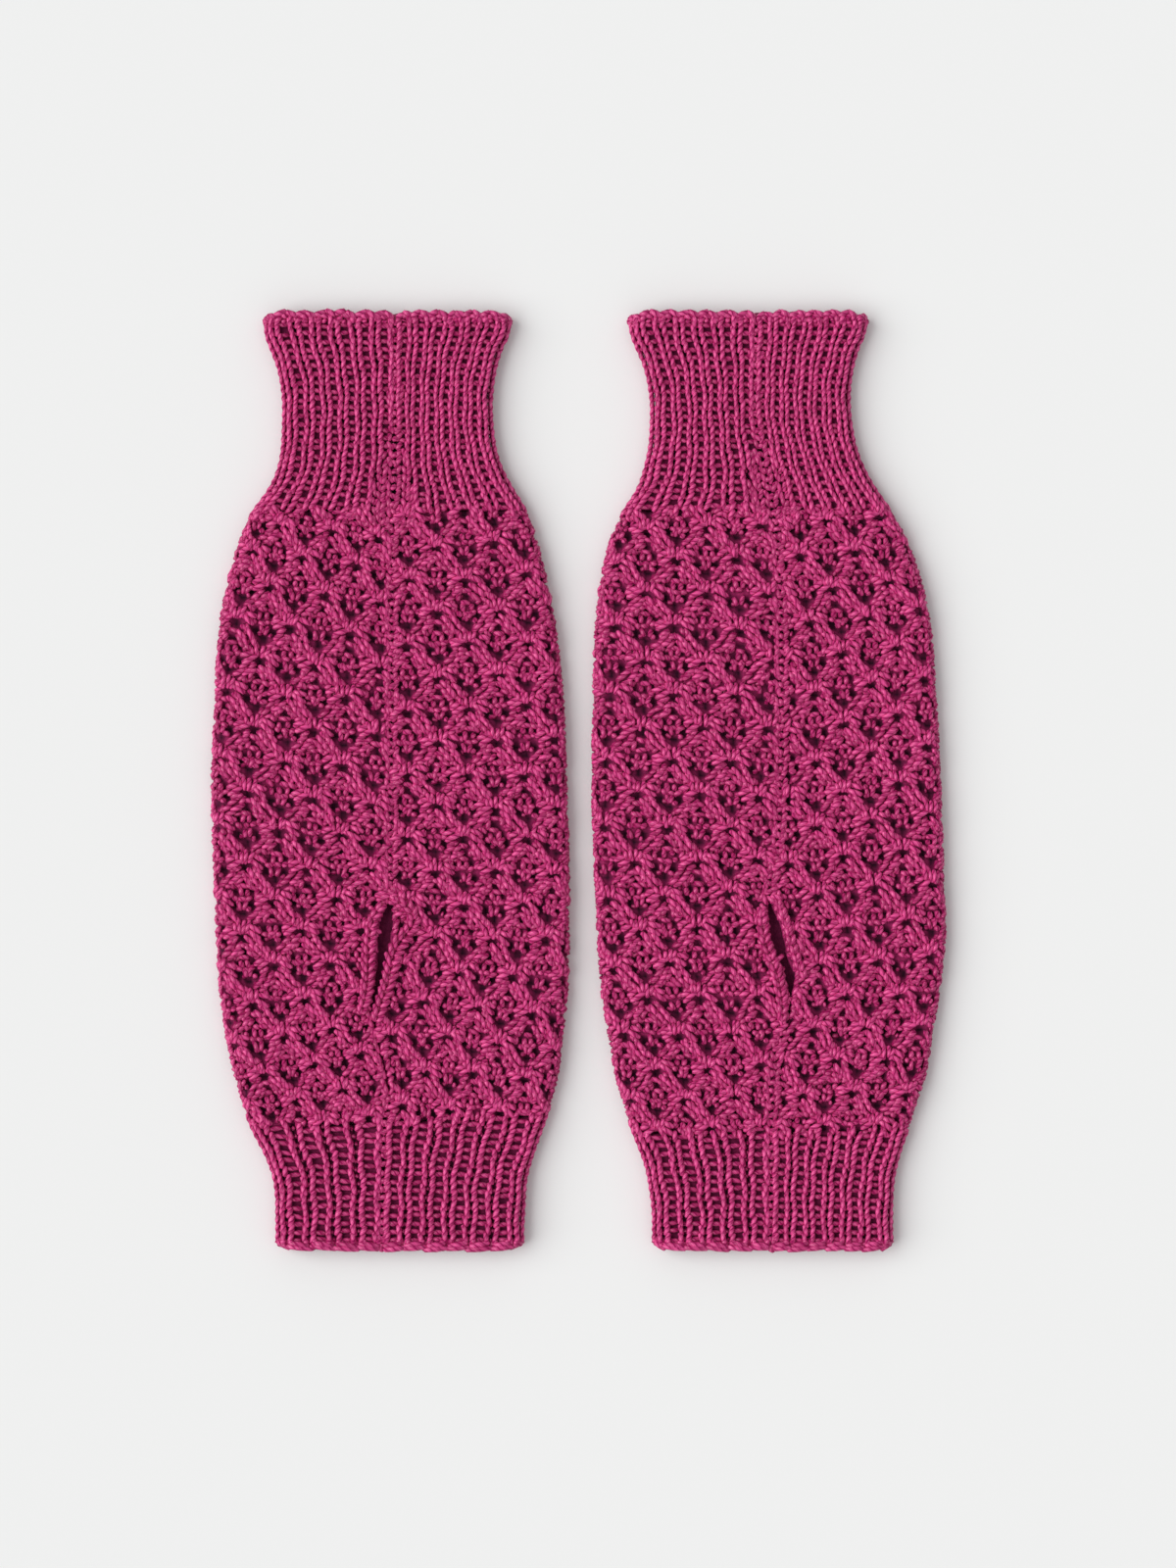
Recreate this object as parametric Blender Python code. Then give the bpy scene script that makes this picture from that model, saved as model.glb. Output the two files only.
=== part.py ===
# A pair of knitted wrist warmers, laid flat side by side.
# Each one is a flat panel folded round into a tube. Its two long edges meet
# at the centre of the front, 0.3 mm apart, and part there for the thumb.
# A ribbed wrist cuff and a ribbed knuckle cuff close a hand in star lattice.
# +Y runs to the wrist end, +X to the viewer's right and +Z up. Lengths in
# this script are millimetres and become metres as each mesh is made.

import math
from collections import namedtuple

import bmesh
import bpy

for old in list(bpy.data.objects):
    bpy.data.objects.remove(old, do_unlink=True)

METRES = 0.001

# Driving sizes of the cloth
WALL = 2.2  # one layer of knitting, without its raised ribs and ropes
HOLLOW = 0.8  # air between the two layers, where the hand goes
RIB_HEIGHT = 0.8  # how far a rib's chains stand above its furrows
LATTICE_HEIGHT = 0.9  # how far a lattice star stands above its holes
SEAM_GAP = 0.3  # between pieces that meet
FOLD = WALL + HOLLOW / 2  # outer radius of the folded sides
TOP = 2 * WALL + HOLLOW  # height of the upper layer's furrows
HALF_LENGTH = 120.0  # from the middle of the pair to either end

# Where the pieces of a warmer meet, along its length
WRIST_EDGE_Y = 116.6
HAND_TOP_Y = 68.8
KNUCKLE_EDGE_Y = -117.6

RIBS_PER_HALF = 6  # rib repeats between the seam and a folded side
EDGE_WAVES_PER_HALF = 6  # scallops of a bound edge, seam to side

Outline = namedtuple("Outline", "y left right")
Seam = namedtuple("Seam", "y left right")
Chart = namedtuple("Chart", "row y x pitch slope")
Band = namedtuple("Band", "x y half_width")

LEFT_OUTLINE = [
    Outline(120.0, -79.9, -17.5),
    Outline(115.0, -80.2, -17.2),
    Outline(111.5, -79.2, -18.9),
    Outline(105.3, -76.8, -20.9),
    Outline(99.0, -75.6, -21.9),
    Outline(92.8, -75.4, -22.0),
    Outline(86.5, -75.6, -21.4),
    Outline(80.3, -76.4, -19.9),
    Outline(74.0, -79.0, -16.6),
    Outline(67.8, -83.6, -12.8),
    Outline(61.5, -86.7, -10.3),
    Outline(49.0, -90.2, -7.3),
    Outline(36.5, -92.4, -5.1),
    Outline(18.0, -93.3, -3.3),
    Outline(-1.0, -94.0, -2.6),
    Outline(-26.0, -93.3, -2.0),
    Outline(-51.0, -92.1, -2.3),
    Outline(-63.5, -90.6, -3.4),
    Outline(-76.0, -87.9, -5.1),
    Outline(-88.5, -83.6, -9.0),
    Outline(-94.8, -80.3, -11.3),
    Outline(-101.0, -77.9, -13.1),
    Outline(-110.0, -77.1, -13.8),
    Outline(-120.0, -77.1, -14.1),
]
RIGHT_OUTLINE = [
    Outline(120.0, 12.8, 73.4),
    Outline(115.0, 12.9, 73.6),
    Outline(111.5, 14.1, 71.9),
    Outline(105.3, 16.7, 70.1),
    Outline(99.0, 18.1, 69.2),
    Outline(92.8, 18.4, 69.4),
    Outline(86.5, 18.1, 70.4),
    Outline(80.3, 17.0, 72.4),
    Outline(74.0, 14.9, 75.9),
    Outline(67.8, 10.9, 80.3),
    Outline(61.5, 7.7, 83.9),
    Outline(49.0, 4.9, 88.3),
    Outline(36.5, 3.8, 90.5),
    Outline(18.0, 3.2, 91.8),
    Outline(-1.0, 2.9, 92.8),
    Outline(-26.0, 3.7, 93.6),
    Outline(-38.5, 4.3, 94.0),
    Outline(-51.0, 5.1, 92.9),
    Outline(-63.5, 6.9, 90.9),
    Outline(-76.0, 9.2, 88.7),
    Outline(-88.5, 13.2, 84.4),
    Outline(-94.8, 15.8, 82.1),
    Outline(-101.0, 17.6, 80.6),
    Outline(-110.0, 18.8, 80.0),
    Outline(-120.0, 18.9, 80.1),
]

# The two edges that meet at the front, and part at the thumb slit
LEFT_SEAM = [
    Seam(120.0, -46.8, -46.5),
    Seam(94.0, -46.8, -46.5),
    Seam(69.0, -47.3, -47.0),
    Seam(49.0, -47.6, -47.3),
    Seam(-20.0, -48.0, -47.7),
    Seam(-30.0, -48.3, -48.0),
    Seam(-34.0, -50.2, -47.2),
    Seam(-40.0, -50.9, -47.6),
    Seam(-46.8, -51.4, -48.4),
    Seam(-52.5, -52.0, -49.6),
    Seam(-58.3, -53.0, -50.9),
    Seam(-62.5, -52.1, -51.8),
    Seam(-71.0, -50.0, -49.7),
    Seam(-80.0, -48.4, -48.1),
    Seam(-88.5, -49.5, -49.2),
    Seam(-120.0, -50.3, -50.0),
]
RIGHT_SEAM = [
    Seam(120.0, 45.2, 45.5),
    Seam(95.0, 44.8, 45.1),
    Seam(69.0, 49.5, 49.8),
    Seam(49.0, 51.2, 51.5),
    Seam(24.0, 51.6, 51.9),
    Seam(-16.0, 50.6, 50.9),
    Seam(-29.0, 48.3, 48.6),
    Seam(-36.5, 48.5, 51.2),
    Seam(-40.8, 49.1, 52.4),
    Seam(-44.3, 50.4, 53.2),
    Seam(-48.0, 52.1, 54.4),
    Seam(-51.5, 53.1, 54.9),
    Seam(-55.3, 53.7, 54.0),
    Seam(-62.5, 53.0, 53.3),
    Seam(-70.0, 49.9, 50.2),
    Seam(-88.5, 49.0, 49.3),
    Seam(-120.0, 48.9, 49.2),
]

# The lattice on each half of a front: at a half row, where its first column
# of stars lies, how far apart columns are, and how a row climbs per column
LEFT_OUTER_CHART = [
    Chart(0, 62.8, -50.5, 6.2, 1.0),
    Chart(1, 55.0, -50.5, 6.4, 1.0),
    Chart(4, 30.3, -50.9, 7.6, 0.6),
    Chart(7, 4.3, -51.5, 7.9, 0.6),
    Chart(10, -20.8, -52.8, 7.95, 0.3),
    Chart(13, -44.5, -55.6, 7.3, -0.5),
    Chart(16, -68.3, -55.4, 6.2, -1.2),
    Chart(18, -84.0, -53.0, 6.1, -1.2),
]
LEFT_INNER_CHART = [
    Chart(0, 69.0, -43.4, 7.2, 0.5),
    Chart(1, 60.8, -43.4, 7.25, 0.5),
    Chart(4, 35.6, -42.8, 7.45, 0.3),
    Chart(7, 11.0, -43.4, 7.55, 0.2),
    Chart(10, -13.5, -43.9, 7.65, 0.0),
    Chart(13, -37.5, -43.2, 7.1, -0.4),
    Chart(16, -63.0, -47.2, 6.9, -0.6),
    Chart(18, -80.8, -45.0, 6.2, -0.5),
]
RIGHT_INNER_CHART = [
    Chart(0, 66.3, 47.0, 7.2, -0.2),
    Chart(1, 58.0, 47.4, 7.4, -0.2),
    Chart(4, 32.0, 49.2, 8.1, 0.0),
    Chart(7, 6.0, 47.5, 8.0, 0.1),
    Chart(10, -19.0, 45.8, 7.75, 0.0),
    Chart(13, -44.3, 45.1, 7.25, -0.3),
    Chart(16, -70.8, 46.9, 6.9, -0.25),
    Chart(18, -86.8, 46.6, 6.5, -0.25),
]
RIGHT_OUTER_CHART = [
    Chart(0, 66.5, 49.8, 6.8, 0.5),
    Chart(1, 58.5, 49.8, 6.9, 0.5),
    Chart(4, 32.0, 53.1, 7.0, 0.9),
    Chart(7, 5.8, 53.0, 7.25, 0.9),
    Chart(10, -19.8, 53.4, 7.25, 0.9),
    Chart(13, -45.3, 54.9, 7.1, 0.4),
    Chart(16, -70.8, 51.6, 6.9, 0.25),
    Chart(18, -86.5, 49.6, 6.6, 0.0),
]

# Chains that line the thumb slits, along their middles
LEFT_SLIT_BAND = [
    Band(-48.0, -30.6, 1.1),
    Band(-45.3, -32.6, 1.7),
    Band(-43.9, -36.0, 2.0),
    Band(-44.6, -39.4, 2.2),
    Band(-46.8, -43.0, 2.2),
    Band(-47.2, -47.2, 2.1),
    Band(-48.2, -51.5, 2.0),
    Band(-49.6, -55.8, 1.8),
    Band(-50.9, -59.4, 1.6),
    Band(-51.3, -61.4, 0.9),
]
LEFT_SLIT_LIP = [
    Band(-49.0, -31.4, 1.0),
    Band(-52.0, -35.6, 1.6),
    Band(-53.2, -41.0, 1.9),
    Band(-53.6, -47.5, 1.9),
    Band(-54.3, -53.0, 1.9),
    Band(-55.3, -57.2, 1.5),
    Band(-55.9, -59.4, 0.8),
]
RIGHT_SLIT_BAND = [
    Band(46.6, -32.0, 0.9),
    Band(46.7, -36.0, 1.6),
    Band(47.4, -41.0, 1.7),
    Band(49.4, -46.2, 1.7),
    Band(51.0, -51.0, 1.7),
    Band(51.9, -56.5, 1.5),
    Band(52.0, -61.5, 0.8),
]
RIGHT_SLIT_LIP = [
    Band(50.3, -30.2, 0.8),
    Band(52.2, -34.0, 1.3),
    Band(53.9, -39.0, 1.5),
    Band(55.3, -43.8, 1.5),
    Band(57.0, -48.0, 1.4),
    Band(58.2, -50.4, 0.8),
]
BAND_HEIGHT = 1.3

# Share of its full height that each kind of place in the lattice has
STAR, ROPE, ARM, BUMPS, LEGS, HOLE = 1.0, 0.8, 0.6, 0.45, 0.5, 0.0
CHAIN, LADDER, FURROW = 1.0, 0.45, 0.0
SEAM_FADE = (1.0, 3.5)  # the relief grows from nothing to full past the seam
SLIT_FADE = (7.0, 9.0)  # and here beside the slit, under its chains
SLIT_RANGE = (-67.0, -25.0)

ROW_STEP = 0.5  # rows of points in the hand, in half rows of the lattice
LEAST_ROW = 1.0  # least distance between two rows of points
PAST_LAST_COLUMN = 0.8  # where the side's fold starts, in columns of stars
WRIST_RIB_ROWS, KNUCKLE_RIB_ROWS = 9, 5
YARN_COLOUR = (178, 56, 106)  # raspberry
FOLD_TURNS = (0.25, 0.5, 0.75, 1.0)  # points round a folded side, of a half turn
INNER_EVERY = 2  # the plain inside has every second row
UNDERSIDE_SPLITS = 3
RELIEF_TURN = 0.6  # the lattice's relief runs round the side as far as this
SIDEWAYS_RELIEF = 0.4  # and is this much flatter at the widest point

# The ends of the cuffs: rounded corners, a dip at the seam and small waves
WRIST_CORNER, WRIST_CORNER_REACH = 2.2, 5.0
KNUCKLE_CORNER, KNUCKLE_CORNER_REACH = 1.2, 2.5
SEAM_DIP, SEAM_DIP_REACH = 1.2, 4.0
SCALLOP = 0.35
EDGE_DEPTHS = (0.0, 0.5, 1.0)  # rows across an edge chain
EDGE_HEIGHTS = (0.5, 1.0, 0.1)  # and how full the chain is at each
EDGE_LOOP = (1.0, 0.8, 0.55, 0.8)  # fullness along one wave of the chain

# Across a slit's chain: how far out, and how high, of its half width and height
BAND_PROFILE = (
    (-1.0, 0.0), (-1.0, 0.45), (-0.55, 1.0), (0.0, 0.75),
    (0.55, 1.0), (1.0, 0.45), (1.0, 0.0),
)


def at(table, column, key, where):
    """A smooth curve through one column of a table, read at a key's value."""
    if getattr(table[0], key) > getattr(table[-1], key):
        table = table[::-1]
    keys = [getattr(row, key) for row in table]
    values = [getattr(row, column) for row in table]
    last = len(keys) - 1
    slopes = []
    for i in range(last + 1):
        before, after = max(i - 1, 0), min(i + 1, last)
        rise = values[after] - values[before]
        turns = (values[i] - values[before]) * (values[after] - values[i])
        flat = 0 < i < last and turns <= 0
        slopes.append(0.0 if flat else rise / (keys[after] - keys[before]))
    where = min(max(where, keys[0]), keys[-1])
    i = min(max(sum(1 for k in keys if k <= where) - 1, 0), last - 1)
    span = keys[i + 1] - keys[i]
    t = (where - keys[i]) / span
    return (
        (2 * t**3 - 3 * t**2 + 1) * values[i]
        + (t**3 - 2 * t**2 + t) * span * slopes[i]
        + (3 * t**2 - 2 * t**3) * values[i + 1]
        + (t**3 - t**2) * span * slopes[i + 1]
    )


def mix(a, b, share):
    return a + (b - a) * share


def ramp(value, low, high):
    return min(max((value - low) / (high - low), 0.0), 1.0)


class Warmer:
    """The sizes of one warmer, and where its surface lies."""

    def __init__(self, name, outline, seam, charts, first_columns, last_columns, low_boundary):
        self.name = name
        self.outline = outline
        self.seam = seam
        self.charts = dict(zip((-1, 1), charts))
        self.first = dict(zip((-1, 1), first_columns))
        self.last = dict(zip((-1, 1), last_columns))
        self.low_boundary = low_boundary

    def side(self, half, y):
        """The folded side's outer edge, on the left (-1) or right (1)."""
        return at(self.outline, "left" if half < 0 else "right", "y", y)

    def fold_start(self, half, y):
        return self.side(half, y) - half * FOLD

    def half_width(self, half, y):
        return abs(self.fold_start(half, y) - self.edge(half, y))

    def edge(self, half, y):
        """The panel's own edge, at the seam or beside the slit."""
        return at(self.seam, "left" if half < 0 else "right", "y", y)

    def hand_end(self, half, share):
        """Where the hand meets the knuckle rib, from the seam (0) to a side (1)."""
        at_left, at_seam, at_right = self.low_boundary
        return mix(at_seam, at_left if half < 0 else at_right, share)

    def fade(self, x, y):
        """How much of the relief is left beside the seam and the slit."""
        away = min(abs(x - self.edge(-1, y)), abs(x - self.edge(1, y)))
        beside_slit = SLIT_RANGE[0] < y < SLIT_RANGE[1]
        return ramp(away, *(SLIT_FADE if beside_slit else SEAM_FADE))


def fold_points(warmer, half, y, relief):
    """Points round a folded side, from just past the top to the underside."""
    points = []
    for turn in FOLD_TURNS:
        angle = turn * math.pi
        raised = relief * math.cos(angle / 2) ** 2 if turn < RELIEF_TURN else 0.0
        radius = FOLD + raised * (SIDEWAYS_RELIEF if turn == 0.5 else 1.0)
        sideways = warmer.fold_start(half, y) + half * radius * math.sin(angle)
        points.append((sideways, y, FOLD + radius * math.cos(angle)))
    return points


def outer_row(warmer, top_points, side_relief):
    """One closed-up row: seam, top, side, underside, side, top, seam."""
    left, right = top_points
    left_y, right_y = left[-1][1], right[-1][1]
    left_fold = fold_points(warmer, -1, left_y, side_relief[0])
    right_fold = fold_points(warmer, 1, right_y, side_relief[1])
    underside = []
    for k in range(1, UNDERSIDE_SPLITS):
        share = k / UNDERSIDE_SPLITS
        x = mix(left_fold[-1][0], right_fold[-1][0], share)
        underside.append((x, mix(left_y, right_y, share), 0.0))
    return left + left_fold + underside + right_fold[::-1] + right[::-1]


def inner_row(warmer, seam_y, side_y):
    """The plain inside at one row, round from seam to seam."""
    halves = []
    for half, edge_y, fold_y in zip((-1, 1), seam_y, side_y):
        edge = warmer.edge(half, edge_y)
        start = warmer.fold_start(half, fold_y)
        halves.append(
            [
                (edge, edge_y, WALL + HOLLOW),
                (mix(edge, start, 0.5), mix(edge_y, fold_y, 0.5), WALL + HOLLOW),
                (start, fold_y, WALL + HOLLOW),
                (start + half * HOLLOW / 2, fold_y, FOLD),
                (start, fold_y, WALL),
            ]
        )
    left, right = halves
    middle = [
        (mix(left[-1][0], right[-1][0], s), mix(side_y[0], side_y[1], s), WALL)
        for s in (1 / 3, 2 / 3)
    ]
    return left + middle + right[::-1]


def zip_faces(mesh, first, second):
    """A strip of triangles between two rows of points of unlike counts."""
    i, j = 0, 0
    while i < len(first) - 1 or j < len(second) - 1:
        along_first = i < len(first) - 1
        if along_first and j < len(second) - 1:
            step_first = (first[i + 1].co - second[j].co).length
            step_second = (first[i].co - second[j + 1].co).length
            along_first = step_first < step_second
        if along_first:
            mesh.faces.new((first[i], first[i + 1], second[j]))
            i += 1
        else:
            mesh.faces.new((first[i], second[j + 1], second[j]))
            j += 1


def finish(name, mesh, material):
    """Turns the faces outwards and makes the piece's object."""
    bmesh.ops.recalc_face_normals(mesh, faces=mesh.faces)
    data = bpy.data.meshes.new(name)
    mesh.to_mesh(data)
    mesh.free()
    data.shade_smooth()
    data.materials.append(material)
    piece = bpy.data.objects.new(name, data)
    bpy.context.scene.collection.objects.link(piece)
    return piece


def points_of(mesh, row):
    return [mesh.verts.new([METRES * value for value in point]) for point in row]


def wall(name, outer_rows, inner_rows, material, leans=None):
    """A folded wall of knitting. leans says which way each quad is cut."""
    mesh = bmesh.new()
    outer = [points_of(mesh, row) for row in outer_rows]
    inner = [points_of(mesh, row) for row in inner_rows]
    for r, (row, below) in enumerate(zip(outer, outer[1:])):
        for c in range(len(row) - 1):
            a, b, d, e = row[c], row[c + 1], below[c], below[c + 1]
            if leans and leans(r, c):
                mesh.faces.new((a, b, d))
                mesh.faces.new((b, e, d))
            else:
                mesh.faces.new((a, b, e))
                mesh.faces.new((a, e, d))
    for row, below in zip(inner, inner[1:]):
        for c in range(len(row) - 1):
            a, b, d, e = row[c], row[c + 1], below[c], below[c + 1]
            mesh.faces.new((a, e, b))
            mesh.faces.new((a, d, e))
    zip_faces(mesh, outer[0], inner[0])
    zip_faces(mesh, outer[-1], inner[-1])
    for end in (0, -1):
        zip_faces(mesh, [row[end] for row in outer], [row[end] for row in inner])
    return finish(name, mesh, material)


def rib_wall(warmer, name, rows, height, repeats, kinds, material):
    """A cuff: rows gives its edges and sections, kinds the relief across a repeat."""
    steps = repeats * len(kinds)
    outer_rows, inner_rows = [], []
    for r, row_y in enumerate(rows):
        halves = []
        for half in (-1, 1):
            points = []
            for k in range(steps + 1):
                share = k / steps
                y = row_y(half, share)
                x = mix(warmer.edge(half, y), warmer.fold_start(half, y), share)
                raised = kinds[k % len(kinds)] * height * warmer.fade(x, y)
                points.append((x, y, TOP + raised))
            halves.append(points)
        outer_rows.append(outer_row(warmer, halves, (0.0, 0.0)))
        if r % INNER_EVERY == 0 or r == len(rows) - 1:
            seam_y = [row_y(half, 0.0) for half in (-1, 1)]
            side_y = [row_y(half, 1.0) for half in (-1, 1)]
            inner_rows.append(inner_row(warmer, seam_y, side_y))
    return wall(name, outer_rows, inner_rows, material)


def level(y):
    """A row that runs straight across at one height."""
    return lambda half, share: y


def lattice_kind(column, row):
    """The kind of place at a quarter column and quarter row of the lattice."""
    across, down = column % 4, row % 4
    if across % 2 and down % 2:
        return ROPE
    if across % 2:
        return ARM
    if down % 2 == 0:
        return STAR if (across + down) % 4 == 0 else BUMPS
    return HOLE if (down - across) % 4 == 1 else LEGS


def hand_wall(warmer, material):
    """The hand, in a half-drop lattice of stars that ropes join."""
    name = warmer.name + "_hand"
    last_row = int(warmer.charts[-1][-1].row / ROW_STEP)
    columns = {
        half: range(warmer.first[half], warmer.last[half] + 1) for half in (-1, 1)
    }
    # each row starts as a list of (x, y, relief) for both halves
    rows = []
    for r in range(1, last_row + 1):
        halves = []
        for half in (-1, 1):
            chart = warmer.charts[half]
            row = r * ROW_STEP
            x0, y0, pitch, slope = (
                at(chart, column, "row", row) for column in ("x", "y", "pitch", "slope")
            )
            seam_column = abs(warmer.edge(half, y0) - x0) / pitch
            edge_y = y0 - seam_column * slope
            points = [[warmer.edge(half, edge_y), edge_y, 0.0]]
            for c in columns[half]:
                u = c * ROW_STEP
                kind = lattice_kind(c, r)
                points.append([x0 + half * u * pitch, y0 + slope * u, kind])
            side_y = y0 + slope * (columns[half][-1] * ROW_STEP + PAST_LAST_COLUMN)
            start = warmer.fold_start(half, side_y)
            points.append([start, side_y, lattice_kind(columns[half][-1] + 1, r)])
            halves.append(points)
        rows.append(halves)
    # the first and last rows run along the cuffs, and no row lies past them
    top, bottom = [], []
    for i, half in enumerate((-1, 1)):
        count = len(rows[0][i])
        shares = [k / (count - 1) for k in range(count)]
        ends = (
            (top, [HAND_TOP_Y - SEAM_GAP] * count, rows[0][i]),
            (bottom, [warmer.hand_end(half, s) for s in shares], rows[-1][i]),
        )
        for edge_row, ys, like in ends:
            points = []
            for share, y, near in zip(shares, ys, like):
                x = near[0]
                if share == 0.0:
                    x = warmer.edge(half, y)
                if share == 1.0:
                    x = warmer.fold_start(half, y)
                points.append([x, y, ROPE])
            edge_row.append(points)
    kept = []
    for r, halves in enumerate(rows, start=1):
        clear = all(
            top[i][k][1] - LEAST_ROW > halves[i][k][1] > bottom[i][k][1] + LEAST_ROW
            for i in (0, 1)
            for k in (0, len(halves[i]) // 2, -1)
        )
        if clear:
            kept.append((r, halves))
    rows = [(kept[0][0] - 1, top)] + kept + [(kept[-1][0] + 1, bottom)]

    outer_rows, inner_rows = [], []
    for r, (number, halves) in enumerate(rows):
        tops, sides = [], []
        for half, points in zip((-1, 1), halves):
            limit = points[-1][0]
            made = []
            for k, (x, y, kind) in enumerate(points):
                if 0 < k < len(points) - 1:
                    room = (len(points) - 1 - k) * LEAST_ROW
                    x = half * min(half * x, half * limit - room)
                raised = kind * LATTICE_HEIGHT * warmer.fade(x, y)
                made.append((x, y, TOP + raised))
            tops.append(made)
            sides.append(points[-1][2] * LATTICE_HEIGHT)
        outer_rows.append(outer_row(warmer, tops, sides))
        if r % INNER_EVERY == 0 or r == len(rows) - 1:
            seam_y = [points[0][1] for points in tops]
            side_y = [points[-1][1] for points in tops]
            inner_rows.append(inner_row(warmer, seam_y, side_y))

    left_count = len(columns[-1]) + 1
    total = len(outer_rows[0]) - 1

    def leans(r, c):
        """True where a quad's other diagonal follows a rope."""
        number = rows[r][0]
        if c < left_count:
            column = columns[-1][0] + c - 1
            return (column - number) % 4 != 0 if (column + number) % 2 == 0 else (
                (column + 1 + number) % 4 == 0
            )
        back = total - 1 - c
        if back < len(columns[1]) + 1:
            column = columns[1][0] + back - 1
            return (column - number) % 4 == 0 if (column + number) % 2 == 0 else (
                (column + 1 + number) % 4 != 0
            )
        return False

    return wall(name, outer_rows, inner_rows, material, leans)


def wrist_end(warmer):
    """The bound edge's far side: rounded corners, a dip at the seam, scallops."""

    def row_y(half, share):
        width = warmer.half_width(half, HALF_LENGTH)
        to_side, to_seam = width * (1 - share), width * share
        corner = WRIST_CORNER * max(0.0, 1 - to_side / WRIST_CORNER_REACH) ** 2
        dip = SEAM_DIP * max(0.0, 1 - to_seam / SEAM_DIP_REACH)
        wave = SCALLOP * math.cos(share * EDGE_WAVES_PER_HALF * 2 * math.pi)
        return HALF_LENGTH - SCALLOP - corner - dip + wave

    return row_y


def knuckle_end(warmer):
    """The cast-on edge's near side: almost straight, with small loops."""

    def row_y(half, share):
        to_side = warmer.half_width(half, -HALF_LENGTH) * (1 - share)
        corner = KNUCKLE_CORNER * max(0.0, 1 - to_side / KNUCKLE_CORNER_REACH) ** 2
        wave = SCALLOP * math.cos(share * EDGE_WAVES_PER_HALF * 2 * math.pi)
        return -HALF_LENGTH + SCALLOP + corner - wave

    return row_y


def edge_wall(warmer, name, near_y, end_row, material):
    """A chain of loops that ends a cuff, fullest in the middle of its depth."""

    def between(depth):
        return lambda half, share: mix(near_y, end_row(half, share), depth)

    rows = [between(depth) for depth in EDGE_DEPTHS]
    outer_rows, inner_rows = [], []
    steps = EDGE_WAVES_PER_HALF * len(EDGE_LOOP)
    for row_y, height in zip(rows, EDGE_HEIGHTS):
        halves = []
        for half in (-1, 1):
            points = []
            for k in range(steps + 1):
                share = k / steps
                y = row_y(half, share)
                x = mix(warmer.edge(half, y), warmer.fold_start(half, y), share)
                full = height * EDGE_LOOP[k % len(EDGE_LOOP)] * warmer.fade(x, y)
                points.append((x, y, TOP + RIB_HEIGHT * full))
            halves.append(points)
        outer_rows.append(outer_row(warmer, halves, (0.0, 0.0)))
    for row_y in (rows[0], rows[-1]):
        seam_y = [row_y(half, 0.0) for half in (-1, 1)]
        side_y = [row_y(half, 1.0) for half in (-1, 1)]
        inner_rows.append(inner_row(warmer, seam_y, side_y))
    return wall(name, outer_rows, inner_rows, material)


def band(name, path, material):
    """A raised chain along the slit, lying just clear of the panel."""
    base = TOP + SEAM_GAP
    mesh = bmesh.new()
    rings = []
    for i, spot in enumerate(path):
        before, after = path[max(i - 1, 0)], path[min(i + 1, len(path) - 1)]
        along_x, along_y = after.x - before.x, after.y - before.y
        length = math.hypot(along_x, along_y)
        across_x, across_y = -along_y / length, along_x / length
        ring = []
        for side, height in BAND_PROFILE:
            reach = side * spot.half_width
            x, y = spot.x + across_x * reach, spot.y + across_y * reach
            ring.append((x, y, base + height * BAND_HEIGHT))
        rings.append(points_of(mesh, ring))
    for ring, following in zip(rings, rings[1:]):
        for k in range(len(ring)):
            nxt = (k + 1) % len(ring)
            mesh.faces.new((ring[k], ring[nxt], following[nxt], following[k]))
    mesh.faces.new(rings[0])
    mesh.faces.new(rings[-1][::-1])
    return finish(name, mesh, material)


def knit_material(name, red, green, blue):
    """Worsted wool yarn: soft, with no gloss. Colours are sRGB."""
    material = bpy.data.materials.new(name)
    material.use_nodes = True
    shader = material.node_tree.nodes["Principled BSDF"]
    linear = [((c / 255 + 0.055) / 1.055) ** 2.4 for c in (red, green, blue)]
    shader.inputs["Base Color"].default_value = (*linear, 1.0)
    shader.inputs["Roughness"].default_value = 0.85
    shader.inputs["Metallic"].default_value = 0.0
    material.diffuse_color = (*linear, 1.0)
    return material


def cuff_rows(near, far, count):
    """Level rows from one end of a cuff to the other."""
    return [level(mix(near, far, k / count)) for k in range(count + 1)]


def knuckle_rows(warmer, count):
    """Rows that start along the hand's sloping end and finish level."""

    def row(k):
        def row_y(half, share):
            start = warmer.hand_end(half, share) - SEAM_GAP
            return mix(start, KNUCKLE_EDGE_Y + SEAM_GAP, k / count)

        return row_y

    return [row(k) for k in range(count + 1)]


def build(warmer, slit_band, slit_lip):
    kinds = (FURROW, CHAIN, LADDER, CHAIN)
    name = warmer.name
    material = knit_material(name + "_yarn", *YARN_COLOUR)
    rib_wall(
        warmer, name + "_wrist_rib",
        cuff_rows(WRIST_EDGE_Y - SEAM_GAP, HAND_TOP_Y, WRIST_RIB_ROWS),
        RIB_HEIGHT, RIBS_PER_HALF, kinds, material,
    )
    hand_wall(warmer, material)
    rib_wall(
        warmer, name + "_knuckle_rib", knuckle_rows(warmer, KNUCKLE_RIB_ROWS),
        RIB_HEIGHT, RIBS_PER_HALF, kinds, material,
    )
    edge_wall(warmer, name + "_wrist_edge", WRIST_EDGE_Y, wrist_end(warmer), material)
    edge_wall(warmer, name + "_knuckle_edge", KNUCKLE_EDGE_Y, knuckle_end(warmer), material)
    band(name + "_slit_band", slit_band, material)
    band(name + "_slit_lip", slit_lip, material)


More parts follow.
